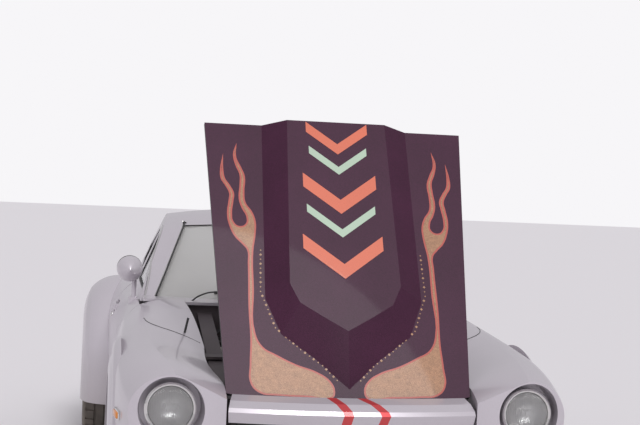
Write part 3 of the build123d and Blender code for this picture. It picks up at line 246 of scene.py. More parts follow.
# Hood: a long front-hinged pressing in near-black plum with flake under a deep gloss coat, with a
# raised centre that ends in a prow. The inner frame underneath is flat black.
hood_open = radians(59.5)
hood_foot = Vector((1.8455, 0, 0.697))
hood_along = Vector((-cos(hood_open), 0, sin(hood_open)))
hood_out = Vector((sin(hood_open), 0, cos(hood_open)))
hood_paint = finish("plum_hood_paint", (0.055, 0.014, 0.037), 0.42, 0, coat=0.06,
    patches=(0.25, 5), flake=0.9)
hood_tree = hood_paint.node_tree
hood_tree.nodes["Principled BSDF"].inputs["Specular IOR Level"].default_value = 0.18
hood_skin = 0.004
hood_place = hood_tree.nodes.new("ShaderNodeTexCoord").outputs["Object"]
height = add_node(hood_tree, "ShaderNodeVectorMath", {0: hood_place, 1: hood_out},
    operation="DOT_PRODUCT").outputs["Value"]
under = math_node(hood_tree, "LESS_THAN", height, hood_foot.dot(hood_out) - hood_skin)
bare_hood = hood_tree.nodes["wear"].outputs["Colour"]
fed(hood_paint, mixed(hood_tree, under, bare_hood, (0.015, 0.015, 0.016, 1)), "Base Color")
dress(hood_paint, "hood")

# Hood artwork: sprayed flames up each side in flaked gold with a red-orange edge, a dotted gold
# line round the prow, and a plain column of chevrons on the raised centre.
gold_flake = finish("gold_flake", (0.33, 0.165, 0.085), 0.45, 0.1, coat=0.15, patches=(0.35, 60),
    flake=1.1)
flame_edge = finish("red_orange_edge", (0.46, 0.07, 0.05), 0.45, coat=0.15, flake=0.3)
orange_paint = finish("orange_paint", (0.68, 0.13, 0.055), 0.4, coat=0.4, flake=0.2)
mint_paint = finish("mint_paint", (0.42, 0.55, 0.42), 0.4, coat=0.4, flake=0.2)
# The left-hand flame as (distance up the hood, distance from its middle), round from the pool
flame = [(200, 346), (110, 350), (37, 349), (3, 319), (-6, 253), (-10, 150), (-12, 62), (15, 53),
    (50, 68), (81, 110), (111, 189), (145, 255), (175, 304), (230, 330), (400, 331), (553, 330),
    (632, 319), (679, 318), (719, 330), (758, 354), (806, 358), (872, 355), (913, 369), (954, 386),
    (1013, 385), (970, 397), (921, 389), (880, 374), (838, 374), (773, 378), (733, 367),
    (702, 352), (668, 354), (657, 380), (676, 401), (707, 406), (764, 400), (796, 397), (832, 413),
    (860, 430), (893, 436), (960, 437), (901, 447), (859, 445), (832, 430), (796, 414), (763, 417),
    (707, 423), (659, 415), (613, 395), (583, 368), (560, 351), (506, 349), (325, 350)]
tips = ((1013, 385), (960, 437), (1013, -385), (960, -437))
flame_tips = [(s / 1000, t / 1000, 0) for s, t in tips]


def link_piece(name, mesh, material, body="body"):
    """A finished mesh as a piece of the car that rides on one of its bodies."""
    piece = add_object(name, mesh)
    mesh.materials.clear()
    mesh.materials.append(material)
    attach(piece, body)
    return piece


def worked_out(thing):
    """The mesh that an object has once its curve or its modifiers are worked out."""
    depsgraph = bpy.context.evaluated_depsgraph_get()
    return bpy.data.meshes.new_from_object(thing.evaluated_get(depsgraph))


def curve_mesh(name, paths, smooth, closed=False, sharp=(), **settings):
    """A mesh from a curve with these settings along paths of points."""
    curve = bpy.data.curves.new(name, "CURVE")
    for key, value in settings.items():
        setattr(curve, key, value)
    for path in paths:
        spline = curve.splines.new("BEZIER" if smooth else "POLY")
        points = spline.bezier_points if smooth else spline.points
        points.add(len(path) - 1)
        for point, place in zip(points, path):
            point.co = Vector(place) if smooth else (*place, 1)
            if smooth:
                kind = "VECTOR" if place in sharp else "AUTO"
                point.handle_left_type = point.handle_right_type = kind
        spline.use_cyclic_u = closed
    drawn = add_object(name + "_drawn", curve)
    mesh = worked_out(drawn)
    bpy.data.objects.remove(drawn)
    return mesh


def painted_shape(name, outlines, swell, lift, material, smooth=True):
    """Flat shapes (along, across) in mm, swollen by an offset and laid on the hood's skin."""
    paths = [[(s / 1000, t / 1000, 0) for s, t in outline] for outline in outlines]
    mesh = curve_mesh(name, paths, smooth, True, flame_tips, dimensions="2D", fill_mode="BOTH",
        offset=swell, resolution_u=5)
    form = bmesh.new()
    form.from_mesh(mesh)
    bmesh.ops.remove_doubles(form, verts=form.verts, dist=0.0002)
    bmesh.ops.recalc_face_normals(form, faces=form.faces)
    if sum(face.normal.z for face in form.faces) < 0:
        bmesh.ops.reverse_faces(form, faces=form.faces)
    place = placed(hood_foot + hood_out * lift, hood_along, Vector((0, -1, 0)), hood_out)
    bmesh.ops.transform(form, matrix=place, verts=form.verts)
    form.to_mesh(mesh)
    link_piece(name, mesh, material, "hood")


flames = [[(s, side * t) for s, t in flame] for side in (1, -1)]
painted_shape("flame_edges", flames, 0.001, 0.0006, flame_edge)
painted_shape("flames", flames, -0.0055, 0.0011, gold_flake)

bulge_skin = 0.0486
chevron_arms = ((430, 150, 60, orange_paint), (600, 130, 34, mint_paint),
    (700, 140, 60, orange_paint), (870, 112, 34, mint_paint), (960, 120, 46, orange_paint))
for number, (tip, reach, depth, material) in enumerate(chevron_arms):
    end = tip + reach * 0.8
    chevron = [(tip, 0), (end, reach), (end + depth, reach), (tip + depth, 0),
        (end + depth, -reach), (end, -reach)]
    painted_shape(f"chevron_{number + 1}", [chevron], 0, bulge_skin, material, False)

dot_path = [(560, 302), (392, 306), (250, 256), (168, 168), (108, 92), (40, 30)]
dot_spacing, small_dot, dot_growth = 17, 3.2, 2.2
dots = []
for (s0, t0), (s1, t1) in zip(dot_path, dot_path[1:]):
    count = int(hypot(s1 - s0, t1 - t0) / dot_spacing)
    for n in range(count):
        s, t = s0 + (s1 - s0) * n / count, t0 + (t1 - t0) * n / count
        size = small_dot + dot_growth * (n % 2)
        for side in (1, -1):
            dots.append([(s - size, side * t), (s, side * t + size), (s + size, side * t),
                (s, side * t - size)])
painted_shape("prow_dots", dots, 0, 0.0008, gold_flake, False)

# Glass: laminated windshield coloured pale and only half clear, clearer tempered side and hatch
# panes, all set in black rubber that laps over their edges, with a bright strip pressed into the
# front one.
window_glass = finish("window_glass", (0.8, 0.79, 0.78), 0.12, patches=(0.06, 3), dust=(0.3, 1.3),
    clear=0.5)
side_glass = finish("side_glass", (0.62, 0.66, 0.65), 0.05, patches=(0.04, 3), dust=(0.3, 1.3),
    clear=0.86)
panes = ("windshield", "quarter_windows", "hatch_glass", "door_glass_left", "door_glass_right")
dress(window_glass, panes[0])
dress(side_glass, *panes[1:])
seal_rubber = finish("seal_rubber", (0.022, 0.021, 0.022), 0.6, bump=(0.0006, 500),
    dust=(0.3, 0.5))
cabin_middle, least_facing, weld = Vector((-0.2, 0, 0.5)), 0.55, 0.00002


def edge_seal(name, pane, width, proud, material, body):
    """A border laid on the outer face of a pane, along its edge."""
    form = bmesh.new()
    form.from_mesh(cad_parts[pane].data)
    bmesh.ops.remove_doubles(form, verts=form.verts, dist=weld)
    inner = []
    for face in form.faces:
        outwards = (face.calc_center_median() - cabin_middle).normalized()
        if face.normal.dot(outwards) <= least_facing:
            inner.append(face)
    bmesh.ops.delete(form, geom=inner, context="FACES")
    ring = set(bmesh.ops.inset_region(form, faces=form.faces[:], thickness=width,
        use_boundary=True, use_even_offset=False)["faces"])
    bmesh.ops.delete(form, geom=[f for f in form.faces if f not in ring], context="FACES")
    bmesh.ops.solidify(form, geom=form.faces[:], thickness=-proud)
    mesh = bpy.data.meshes.new(name)
    form.to_mesh(mesh)
    link_piece(name, mesh, material, body)


for pane, body in zip(panes, ("body", "body", "hatch", "door_left", "door_right")):
    width = 0.026 if pane == "windshield" else 0.012
    edge_seal(pane + "_seal", pane, width, 0.004, seal_rubber, body)

# Bright parts: rolled steel bumpers and a polished strip in the windshield's rubber, chrome plated
# and a little pitted.
chrome = finish("chrome", (0.72, 0.71, 0.7), 0.1, 1, patches=(0.06, 30), dust=(0.5, 0.6))
dress(chrome, "front_bumper", "rear_bumper")
edge_seal("windshield_strip", "windshield", 0.017, 0.008, chrome, "body")

# Headlamps: a chromed ring round a fluted glass lens, a bright bowl and a bulb behind it. They
# stand on the back of each fender's scoop.
lamp_back_x = 1.8495
lamp_places = (Vector((lamp_back_x, 0.628, 0.651)), Vector((lamp_back_x, -0.628, 0.651)))
lens_glass = finish("lens_glass", (0.86, 0.88, 0.88), 0.05, patches=(0.02, 3), dust=(0.1, 0.5),
    clear=0.9)
lens_tree = lens_glass.node_tree
lens_place = lens_tree.nodes.new("ShaderNodeTexCoord").outputs["Object"]
flutes = add_node(lens_tree, "ShaderNodeTexWave", {"Vector": lens_place, "Scale": 40},
    bands_direction="Y")
flute_bump = add_node(lens_tree, "ShaderNodeBump",
    {"Distance": 0.002, "Height": flutes.outputs["Fac"]})
fed(lens_glass, flute_bump.outputs[0], "Normal")
bowl_mirror = finish("bowl_mirror", (0.8, 0.78, 0.78), 0.38, 0.9)
dark_metal = finish("dark_metal", (0.035, 0.034, 0.034), 0.55, 0.2, bump=(0.001, 90),
    dust=(0.3, 0.5))


def turned(form, profile, centre, axis, steps=48):
    """A closed ring or disc from a profile of (along the axis, radius), turned about the axis."""
    axis = Vector(axis).normalized()
    across = axis.cross(Vector((0, 0, 1)))
    if across.length < 0.1:
        across = axis.cross(Vector((0, 1, 0)))
    across.normalize()
    verts = [form.verts.new(Vector(centre) + axis * a + across * r) for a, r in profile]
    edges = [form.edges.new(pair) for pair in zip(verts, verts[1:])]
    bmesh.ops.spin(form, geom=verts + edges, cent=centre, axis=axis, angle=2 * pi, steps=steps,
        use_merge=True)


def finished(form, name, material, body="body", smooth=True):
    """A bmesh made into a piece, its doubles merged and its faces turned outwards."""
    bmesh.ops.remove_doubles(form, verts=form.verts, dist=weld)
    bmesh.ops.recalc_face_normals(form, faces=form.faces)
    for face in form.faces:
        face.smooth = smooth
    for edge in form.edges:
        edge.smooth = not (len(edge.link_faces) == 2 and edge.calc_face_angle(0) > radians(32))
    mesh = bpy.data.meshes.new(name)
    form.to_mesh(mesh)
    return link_piece(name, mesh, material, body)


def mm(*points):
    """Points, or other rows of lengths, given in millimetres."""
    return [tuple(length / 1000 for length in point) for point in points]


ring_profile = mm((58, 75.5), (64, 78), (67, 84), (64, 89.5), (52, 89.5), (34, 84), (34, 81),
    (50, 76.5), (58, 75.5))
lens_profile = mm((59, 75.5), (64, 70), (71.5, 50), (76.5, 26), (78, 0))
bowl_profile = mm((58, 75.2), (44, 66), (26, 48), (14, 26), (10, 0))
bucket_profile = mm((34, 81), (20, 70), (0.4, 58), (0.4, 0))
bulb_profile = mm((10, 12), (30, 12), (36, 8), (38, 0))
for name, profile, material in (
    ("rings", ring_profile, chrome), ("lenses", lens_profile, lens_glass),
    ("bowls", bowl_profile, bowl_mirror), ("buckets", bucket_profile, dark_metal),
    ("bulbs", bulb_profile, bowl_mirror),
):
    form = bmesh.new()
    for place in lamp_places:
        turned(form, profile, place, (1, 0, 0))
    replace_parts(finished(form, "headlamp_" + name, material), "headlamps")

# Wheels: cast alloy with a machined lip and grey pockets, a plain cap and five nuts each, on
# wide tyres with three straight grooves and notched shoulders.
wheel_alloy = finish("wheel_alloy", (0.46, 0.45, 0.46), 0.32, 0.9, bump=(0.0004, 240),
    patches=(0.12, 12), dust=(0.6, 0.9))
tyre_rubber = finish("tyre_rubber", (0.022, 0.021, 0.021), 0.75, bump=(0.0006, 300),
    patches=(0.25, 9), dust=(0.8, 0.75))
wheels = (
    ("front_left", 1.2675, 0.7135, 0.205), ("front_right", 1.2675, -0.7135, 0.205),
    ("rear_left", -1.0375, 0.817, 0.24), ("rear_right", -1.0375, -0.817, 0.24),
)
axle_height, tyre_radius, bead_radius = 0.315, 0.315, 0.1785
tread_steps, crown_drop = 90, 0.0055
tyre_wall = mm((-13, 0), (-10, 16), (-2, 34), (0, 62), (-2, 86), (-1.5, 88), (-4, 104))
for place, axle_x, wheel_y, tyre_width in wheels:
    dress(wheel_alloy, f"rim_{place}")
    out = 1 if wheel_y > 0 else -1
    centre = Vector((axle_x, wheel_y, axle_height))
    form = bmesh.new()
    turned(form, mm((57.5, 0), (66.5, 12), (65.5, 24), (58, 26.5), (50, 26.5)), centre,
        (0, out, 0), 32)
    for n in range(5):
        turn = 2 * pi * (n + 0.5) / 5
        nut_centre = centre + Vector((0.056 * cos(turn), out * 0.046, 0.056 * sin(turn)))
        nut = bmesh.ops.create_cone(form, segments=6, radius1=0.0115, radius2=0.0085, depth=0.016,
            cap_ends=True)["verts"]
        bmesh.ops.rotate(form, verts=nut, matrix=Matrix.Rotation(-out * pi / 2, 3, "X"))
        bmesh.ops.translate(form, verts=nut, vec=nut_centre)
    finished(form, f"wheel_cap_{place}", chrome, f"wheel_{place}", False)

    half = tyre_width / 2
    form = bmesh.new()
    tread = half - 0.018
    rib = 2 * tread / 4
    groove, groove_depth = 0.007, 0.0075
    side = [(half + along, bead_radius + up) for along, up in tyre_wall]
    side += [(tread + 0.008, tyre_radius - 0.012), (tread, tyre_radius - crown_drop)]
    crown = []
    for n in (1, 0, -1):
        middle = n * rib
        drop = crown_drop * (middle / tread) ** 2
        for along, deep in ((groove, 0), (groove - 0.002, groove_depth),
                (-groove + 0.002, groove_depth), (-groove, 0)):
            crown.append((middle + along, tyre_radius - drop - deep))
    profile = side + crown + [(-a, r) for a, r in reversed(side)]
    profile.append(profile[0])
    turned(form, profile, centre, (0, 1, 0), tread_steps)
    form.faces.ensure_lookup_table()
    shoulder = []
    for face in form.faces:
        spot = face.calc_center_median() - centre
        radius, across = hypot(spot.x, spot.z), abs(spot.y)
        step = int((atan2(spot.z, spot.x) / (2 * pi) + 1) * tread_steps + 0.5)
        if radius > tyre_radius - 0.0075 and rib + groove < across < tread and step % 3 == 0:
            shoulder.append(face)
    bmesh.ops.inset_individual(form, faces=shoulder, thickness=0.0015)
    for face in shoulder:
        spot = face.calc_center_median() - centre
        inwards = Vector((-spot.x, 0, -spot.z)).normalized() * 0.006
        bmesh.ops.translate(form, verts=face.verts[:], vec=inwards)
    tyre = finished(form, f"tread_{place}", tyre_rubber, f"wheel_{place}")
    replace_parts(tyre, f"tyre_{place}")

# Plain parts underneath: floor, suspension, tank and exhaust in dull black, road dust and rust.
underbody_black = finish("underbody_black", (0.03, 0.029, 0.028), 0.8, bump=(0.001, 120),
    patches=(0.4, 6), dust=(0.9, 0.8))
dress(underbody_black, "floor_pan", "load_floor", "fuel_tank", "front_suspension",
    "rear_suspension")
cast_grey = finish("cast_grey", (0.12, 0.115, 0.11), 0.6, 0.4, bump=(0.001, 160),
    patches=(0.3, 14), dust=(0.5, 0.9))
dress(cast_grey, "engine", "knuckle_left", "knuckle_right")
dress(dark_metal, "radiator")
pipe_steel = finish("pipe_steel", (0.24, 0.19, 0.15), 0.55, 0.7, bump=(0.0006, 80),
    patches=(0.5, 9), dust=(0.6, 0.5))
dress(pipe_steel, "exhaust")
bay_paint = finish("bay_paint", (0.085, 0.068, 0.08), 0.6, 0.1, patches=(0.35, 5), dust=(0.5, 1.1))
dress(bay_paint, "engine_bay", "firewall")
satin_black = finish("satin_black", (0.02, 0.02, 0.021), 0.5, bump=(0.0004, 600), dust=(0.2, 0.5))
dress(satin_black, "grille", "dashboard", "steering_wheel")
lamp_red = finish("lamp_red", (0.36, 0.012, 0.012), 0.15, coat=0.5, dust=(0.1, 0.5))
dress(lamp_red, "tail_lamps")

# Seats: a pair of high-backed buckets. Foam pads sewn in grained black vinyl, with long channels
# drawn down to the foam and a piped border, on a moulded shell that stands on steel rails. The
# covers are blown up in a cloth simulation that is held along the seams.
seat_vinyl = finish("seat_vinyl", (0.026, 0.023, 0.023), 0.46, bump=(0.0012, 420),
    patches=(0.2, 14))
vinyl_tree = seat_vinyl.node_tree
# Painted shade: the vinyl is darkened to near-black close to its seams, where the channels sink
# in.
seam_shade = add_node(vinyl_tree, "ShaderNodeAttribute", attribute_name="seam")
vinyl_colour = mixed(vinyl_tree, seam_shade.outputs["Fac"],
    vinyl_tree.nodes["wear"].outputs["Colour"], (0.006, 0.005, 0.005, 1))
fed(seat_vinyl, vinyl_colour, "Base Color")
seat_shell_paint = finish("seat_shell", (0.03, 0.03, 0.031), 0.6, bump=(0.0006, 260),
    dust=(0.3, 0.6))
seat_side, pad_channels = 0.362, 5


def boxed(form, low, high, bevel=0, segments=2):
    """A block between two corners with rounded edges, added to a bmesh."""
    made = bmesh.ops.create_cube(form, size=1)["verts"]
    low, high = [Vector([pick(pair) for pair in zip(low, high)]) for pick in (min, max)]
    for vert in made:
        vert.co = Vector([a + (b - a) * (c + 0.5) for a, b, c in zip(low, high, vert.co)])
    if bevel:
        edges = list({edge for vert in made for edge in vert.link_edges})
        made = bmesh.ops.bevel(form, geom=edges, offset=bevel, offset_type="OFFSET",
            segments=segments, profile=0.5, affect="EDGES", material=-1)["verts"]
    return made


def tubes(name, paths, radius, material, body="body", smooth=True, sides=3):
    """Round rods along paths of points, as one piece."""
    mesh = curve_mesh(name, paths, smooth, dimensions="3D", bevel_depth=radius,
        bevel_resolution=sides, use_fill_caps=True)
    for face in mesh.polygons:
        face.use_smooth = True
    link_piece(name, mesh, material, body)


def padded_piece(name, frame_of_pad, size):
    """One pad: width, length and thickness about a frame, blown up between its sewn channels."""
    width, long, thick = size
    form = bmesh.new()
    boxed(form, (-width / 2, 0, -thick), (width / 2, long, 0), min(0.036, thick * 0.42), 4)
    pad = add_object(name, bpy.data.meshes.new(name))
    form.to_mesh(pad.data)
    remesh = pad.modifiers.new("remesh", "REMESH")
    remesh.mode = "VOXEL"
    remesh.voxel_size = 0.0075
    mesh = worked_out(pad)
    pad.modifiers.clear()
    pad.data = mesh
    border, seam_width, most_swell = 0.062, 0.0045, 0.014
    half = width / 2 - border
    lines = [-half + 2 * half * n / pad_channels for n in range(pad_channels + 1)]

    def seam_distance(place):
        """How far a point on the pad's face is from its nearest seam."""
        aside, inside = abs(place.x), min(place.y, long - place.y)
        if inside < border - 0.004:
            return border - inside if aside < half else 1
        if aside > half + 0.004:
            return aside - half
        return min(abs(inside - border), *(abs(place.x - line) for line in lines))

    held = pad.vertex_groups.new(name="held")
    start = [vert.co.copy() for vert in mesh.vertices]
    for vert in mesh.vertices:
        sewn = vert.co.z > -0.012 and seam_distance(vert.co) < seam_width
        if sewn or vert.co.z < -thick * 0.9:
            held.add([vert.index], 1, "REPLACE")
    cloth = pad.modifiers.new("cloth", "CLOTH").settings
    cloth.quality = 4
    cloth.use_pressure = True
    cloth.uniform_pressure_force = 5
    cloth.effector_weights.gravity = 0
    cloth.vertex_group_mass = "held"
    cloth.tension_stiffness = cloth.compression_stiffness = 8
    for frame_number in range(1, 21):
        bpy.context.scene.frame_set(frame_number)
    mesh = worked_out(pad)
    pad.modifiers.clear()
    bpy.context.scene.frame_set(1)
    for before, after in zip(start, mesh.vertices):
        shift = after.co - before
        if shift.length > most_swell:
            after.co = before + shift.normalized() * most_swell
    pad.data = mesh
    # The seam attribute carries painted shade as well as the seams' pull: 1 on a seam, falling to
    # 0 two seam widths away.
    shade = mesh.attributes.new("seam", "FLOAT", "POINT")
    for vert, before in zip(mesh.vertices, start):
        near = max(0, 1 - seam_distance(before) / (2 * seam_width)) if before.z > -0.02 else 0
        shade.data[vert.index].value = near
        vert.co.z -= 0.004 * near
        vert.co = frame_of_pad @ vert.co
    for face in mesh.polygons:
        face.use_smooth = True
    mesh.materials.clear()
    mesh.materials.append(seat_vinyl)
    finer = pad.modifiers.new("finer", "SUBSURF")
    finer.levels = finer.render_levels = 1
    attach(pad, "body")
    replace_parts(pad, "seats")


both_sides = ((1, "left"), (-1, "right"))
tilt, lean = radians(6), radians(72.4)
for side, side_name in both_sides:
    cushion_frame = placed((-0.325, side * seat_side, 0.34),
        (0, -1, 0), (cos(tilt), 0, sin(tilt)), (-sin(tilt), 0, cos(tilt)))
    padded_piece(f"seat_cushion_{side_name}", cushion_frame, (0.392, 0.44, 0.115))
    back_frame = placed((-0.372, side * seat_side, 0.375),
        (0, 1, 0), (-cos(lean), 0, sin(lean)), (sin(lean), 0, cos(lean)))
    padded_piece(f"seat_back_{side_name}", back_frame, (0.388, 0.64, 0.062))
shell_side = mm((112, 205), (120, 275), (-300, 228), (-375, 300), (-440, 450), (-628, 1000),
    (-612, 1000), (-500, 330), (-470, 205))
form = bmesh.new()
for side in (1, -1):
    near, far = [[form.verts.new((x, side * seat_side + y, z)) for x, z in shell_side]
        for y in (-0.196, 0.196)]
    form.faces.new(near)
    form.faces.new(far[::-1])
    for n in range(len(near)):
        form.faces.new((near[n - 1], near[n], far[n], far[n - 1]))
bmesh.ops.recalc_face_normals(form, faces=form.faces)
bmesh.ops.bevel(form, geom=form.edges[:], offset=0.007, offset_type="OFFSET", segments=2,
    profile=0.5, affect="EDGES", material=-1, clamp_overlap=True)
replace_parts(finished(form, "seat_shells", seat_shell_paint), "seats")

# Dashboard: a moulded vinyl pad with hooded pods, two wide dials before the driver and three small
# ones turned to face them, with pale ticks and red hands under bright rings, round air vents at
# the ends and a lid for the glove box. All of it is screwed to the pad from behind.
satin_pad = finish("satin_pad", (0.024, 0.022, 0.023), 0.55, bump=(0.0008, 380))
dial_black = finish("dial_black", (0.008, 0.008, 0.009), 0.35, coat=0.6)
dial_pale = finish("dial_pale", (0.72, 0.74, 0.68), 0.5)
hand_red = finish("hand_red", (0.62, 0.06, 0.03), 0.45)
# Each dial's middle, the radius of its face and how many ticks it has
dials = (((0.366, 0.432, 0.786), 0.054, 13), ((0.366, 0.292, 0.786), 0.054, 9),
         ((0.384, 0.118, 0.812), 0.034, 5), ((0.384, 0.01, 0.812), 0.034, 5),
         ((0.384, -0.098, 0.812), 0.034, 5))
dial_tilt = radians(12)
dial_axis = Vector((-cos(dial_tilt), 0, sin(dial_tilt)))
dial_up = Vector((sin(dial_tilt), 0, cos(dial_tilt)))
pods, rings, faces_black, ticks, hands = (bmesh.new() for _ in range(5))


def set_box(form, size, place, bevel=0):
    """A block of a size, put in place by a matrix."""
    made = boxed(form, [-s / 2 for s in size], [s / 2 for s in size], bevel)
    bmesh.ops.transform(form, matrix=place, verts=made)


def tipped(place, degrees):
    """A matrix that stands at a place and is tipped about its y axis."""
    return Matrix.Translation(place) @ Matrix.Rotation(radians(degrees), 4, "Y")


for number, (middle, radius, count) in enumerate(dials):
    middle = Vector(middle)
    for form, profile in (
        (pods, [(-0.07, 0.007), (0.006, 0.009), (0.02, 0.008), (0.02, 0.002), (0.003, 0),
                (-0.002, 0), (-0.002, -radius)]),
        (rings, mm((0, 1), (7, 0), (8, -3), (0, -4))),
        (faces_black, [(-0.001, -0.001), (0.0015, -0.003), (0.0015, -radius)]),
    ):
        turned(form, [(a, radius + grown) for a, grown in profile], middle, dial_axis, 40)
    flat = placed(middle + dial_axis * 0.002, (0, -1, 0), dial_up, dial_axis)
    for n in range(count):
        angle = radians(130 - 260 * n / (count - 1))
        spot = Matrix.Rotation(angle, 4, "Z") @ Matrix.Translation((0, radius * 0.78, 0))
        long = radius * (0.2 if n % 2 == 0 else 0.12)
        set_box(ticks, (0.0018, long, 0.0006), flat @ spot)
    swing = Matrix.Rotation(radians(100 - 34 * number), 4, "Z")
    reach = Matrix.Translation((0, radius * 0.28, 0.002))
    set_box(hands, (0.0022, radius * 0.84, 0.0008), flat @ swing @ reach)
for y in (0.575, -0.575):
    vent = Vector((0.392, y, 0.738))
    turned(pods, mm((-40, 40), (4, 42), (8, 40), (6, 35), (-10, 33)), vent, dial_axis, 32)
    for n in (-1, 0, 1):
        slat = tipped(vent + dial_up * 0.018 * n, 20)
        set_box(pods, (0.012, 0.066 - 0.012 * abs(n), 0.0025), slat)
lid_place = tipped((0.4065, -0.345, 0.716), -31.945)
set_box(pods, (0.008, 0.34, 0.108), lid_place, 0.003)
set_box(rings, (0.014, 0.036, 0.012), lid_place @ Matrix.Translation((-0.006, 0, 0.034)), 0.003)
finished(pods, "dash_pods", satin_pad)
finished(rings, "dial_rings", chrome)
finished(faces_black, "dial_faces", dial_black)
finished(ticks, "dial_ticks", dial_pale, smooth=False)
finished(hands, "dial_hands", hand_red, smooth=False)

# Driver's controls: a padded horn button with small screws on the steering wheel, a stalk each
# side of its column, a short gear lever in a gaiter, a handbrake beside it and three pedals.
wheel_middle = Vector((0.1475, seat_side, 0.77))
wheel_lean = radians(22)
wheel_axis = Vector((-cos(wheel_lean), 0, sin(wheel_lean)))
wheel_up = Vector((sin(wheel_lean), 0, cos(wheel_lean)))


def shaped(name, material, turns=(), blocks=(), body="body", smooth=True):
    """A piece from turned shapes (profile, centre, axis, steps) and blocks (low, high, bevel)."""
    form = bmesh.new()
    for turn in turns:
        turned(form, *turn)
    for block in blocks:
        boxed(form, *block)
    finished(form, name, material, body, smooth)


button = mm((-12, 40), (14, 40), (21, 34), (24, 16), (25, 0))
shaped("horn_button", satin_pad, [(button, wheel_middle, wheel_axis, 36)], body="steering_wheel")
screw = mm((6, 4.5), (15, 4.5), (17, 3), (17, 0))
screw_turns = [2 * pi * n / 6 for n in range(6)]
screw_places = [wheel_middle + (wheel_up * cos(t) + Vector((0, sin(t), 0))) * 0.049
    for t in screw_turns]
shaped("wheel_screws", chrome, [(screw, place, wheel_axis, 10) for place in screw_places],
    body="steering_wheel")
stalk = mm((245, 30, 725), (232, 100, 735), (228, 155, 738))
tubes("column_stalks", [[(x, seat_side + s * y, z) for x, y, z in stalk] for s in (1, -1)],
    0.0045, satin_black)
gaiter = mm((0, 62), (4, 60), (14, 50), (20, 47), (34, 34), (40, 31), (58, 16), (62, 11), (66, 0))
shaped("lever_gaiters", satin_pad, [(gaiter, (0.03, 0, 0.344), (-0.08, 0, 1), 32)],
    [((-0.345, 0.028, 0.344), (-0.175, 0.072, 0.364), 0.008)])
tubes("gear_lever", [mm((26, 0, 400), (16, 0, 470), (-10, 0, 548))], 0.006, chrome)
form = bmesh.new()
bmesh.ops.create_uvsphere(form, u_segments=24, v_segments=16, radius=0.024,
    matrix=Matrix.Translation((-0.014, 0, 0.562)))
finished(form, "gear_knob", satin_black)
tubes("handbrake", [mm((-190, 50, 362), (-235, 50, 392), (-285, 50, 412))], 0.009, chrome)
tubes("handbrake_grip", [mm((-275, 50, 408.5), (-330, 50, 426.5), (-375, 50, 440))], 0.0155,
    satin_pad)
form = bmesh.new()
pedals = mm((470, 60), (372, 60), (268, 46))
for y, wide in pedals:
    set_box(form, (0.01, wide, 0.062), tipped((0.56, y, 0.33), -28), 0.003)
finished(form, "pedal_pads", satin_black)
tubes("pedal_arms", [[(0.566, y, 0.335), (0.59, y, 0.44), (0.575, y, 0.6)] for y, _ in pedals],
    0.007, dark_metal)

# Cabin lining: grained vinyl cards on the doors with an armrest, a pull and a window winder,
# looped carpet on the floors with straps over the load, boards that close the footwells, and a
# mirror and two visors screwed under the roof's front edge.
carpet = finish("carpet", (0.03, 0.027, 0.03), 0.95, bump=(0.004, 260), patches=(0.3, 12),
    dust=(0.3, 0.6))
mirror_glass = finish("mirror_glass", (0.8, 0.8, 0.82), 0.03, 1)
for side, side_name in both_sides:
    form = bmesh.new()
    for (x0, y0, z0), (x1, y1, z1), bevel in (
        ((-0.395, 0.719, 0.275), (0.575, 0.731, 0.708), 0.005),
        ((-0.375, 0.711, 0.56), (0.555, 0.722, 0.69), 0.005),
        ((-0.29, 0.668, 0.498), (0.12, 0.722, 0.545), 0.014),
    ):
        boxed(form, (x0, side * y0, z0), (x1, side * y1, z1), bevel, 3)
    finished(form, f"door_card_{side_name}", satin_pad, f"door_{side_name}")
    form = bmesh.new()
    hub = Vector((0.25, side * 0.7185, 0.445))
    inward = Vector((0, -side, 0))
    turned(form, mm((0, 19), (14, 17), (18, 10), (18, 0)), hub, inward, 24)
    crank = hub + Vector((-0.045, -0.018 * side, -0.018))
    set_box(form, (0.105, 0.007, 0.014), tipped(crank, -22), 0.002)
    knob = hub + Vector((-0.088, 0, -0.035))
    turned(form, mm((16, 11), (40, 12), (44, 9), (44, 0)), knob, inward, 20)
    boxed(form, (0.3, side * 0.7, 0.622), (0.375, side * 0.712, 0.652), 0.004)
    finished(form, f"door_winder_{side_name}", chrome, f"door_{side_name}")
floor_mats = mm((135, 130, 600, 630), (-640, 130, 135, 150), (-640, 575, 135, 630))
mats = [((x0, s * y0, 0.194), (x1, s * y1, 0.203), 0.003) for x0, y0, x1, y1 in floor_mats
    for s in (1, -1)]
mats += [((-0.64, y, 0.344), (0.56, y + 0.016, 0.35), 0.002) for y in (0.07, -0.086)]
mats.append(((-1.46, -0.5, 0.442), (-0.875, 0.5, 0.45), 0.003))
shaped("carpets", carpet, (), mats)
footwell_boards = ((0.585, 0.631, 0.203, 0.705, 0.639), (0.603, 0.638, 0.242, 0.61, 0.714))
boards = [((x0, s * y0, z0), (x1, s * y1, 0.6), 0.002) for x0, y0, z0, x1, y1 in footwell_boards
    for s in (1, -1)]
boards.append(((-1.885, -0.6, 0.445), (-1.877, 0.6, 0.74), 0.002))
shaped("side_boards", satin_pad, (), boards)
straps = []
for y in (0.26, -0.26):
    straps.append(((-1.4, y - 0.024, 0.45), (-0.92, y + 0.024, 0.4535), 0.001))
    straps.append(((-1.16, y - 0.034, 0.45), (-1.1, y + 0.034, 0.459), 0.002))
shaped("luggage_straps", satin_black, (), straps)
mirror_shell = ((-0.128, -0.12, 1.128), (-0.108, 0.12, 1.18), 0.009, 3)
shaped("cabin_mirror_shell", satin_black, (), [mirror_shell])
mirror_pane = ((-0.1295, -0.11, 1.134), (-0.1275, 0.11, 1.174), 0.001)
shaped("cabin_mirror_glass", mirror_glass, (), [mirror_pane], "body", False)
tubes("cabin_mirror_stem", [mm((-112, 0, 1165), (-125, 0, 1195), (-165, 0, 1232))], 0.005, chrome)
form = bmesh.new()
for y in (0.245, -0.245):
    set_box(form, (0.115, 0.3, 0.014), tipped((-0.262, y, 1.198), 4), 0.005)
finished(form, "sun_visors", satin_pad)

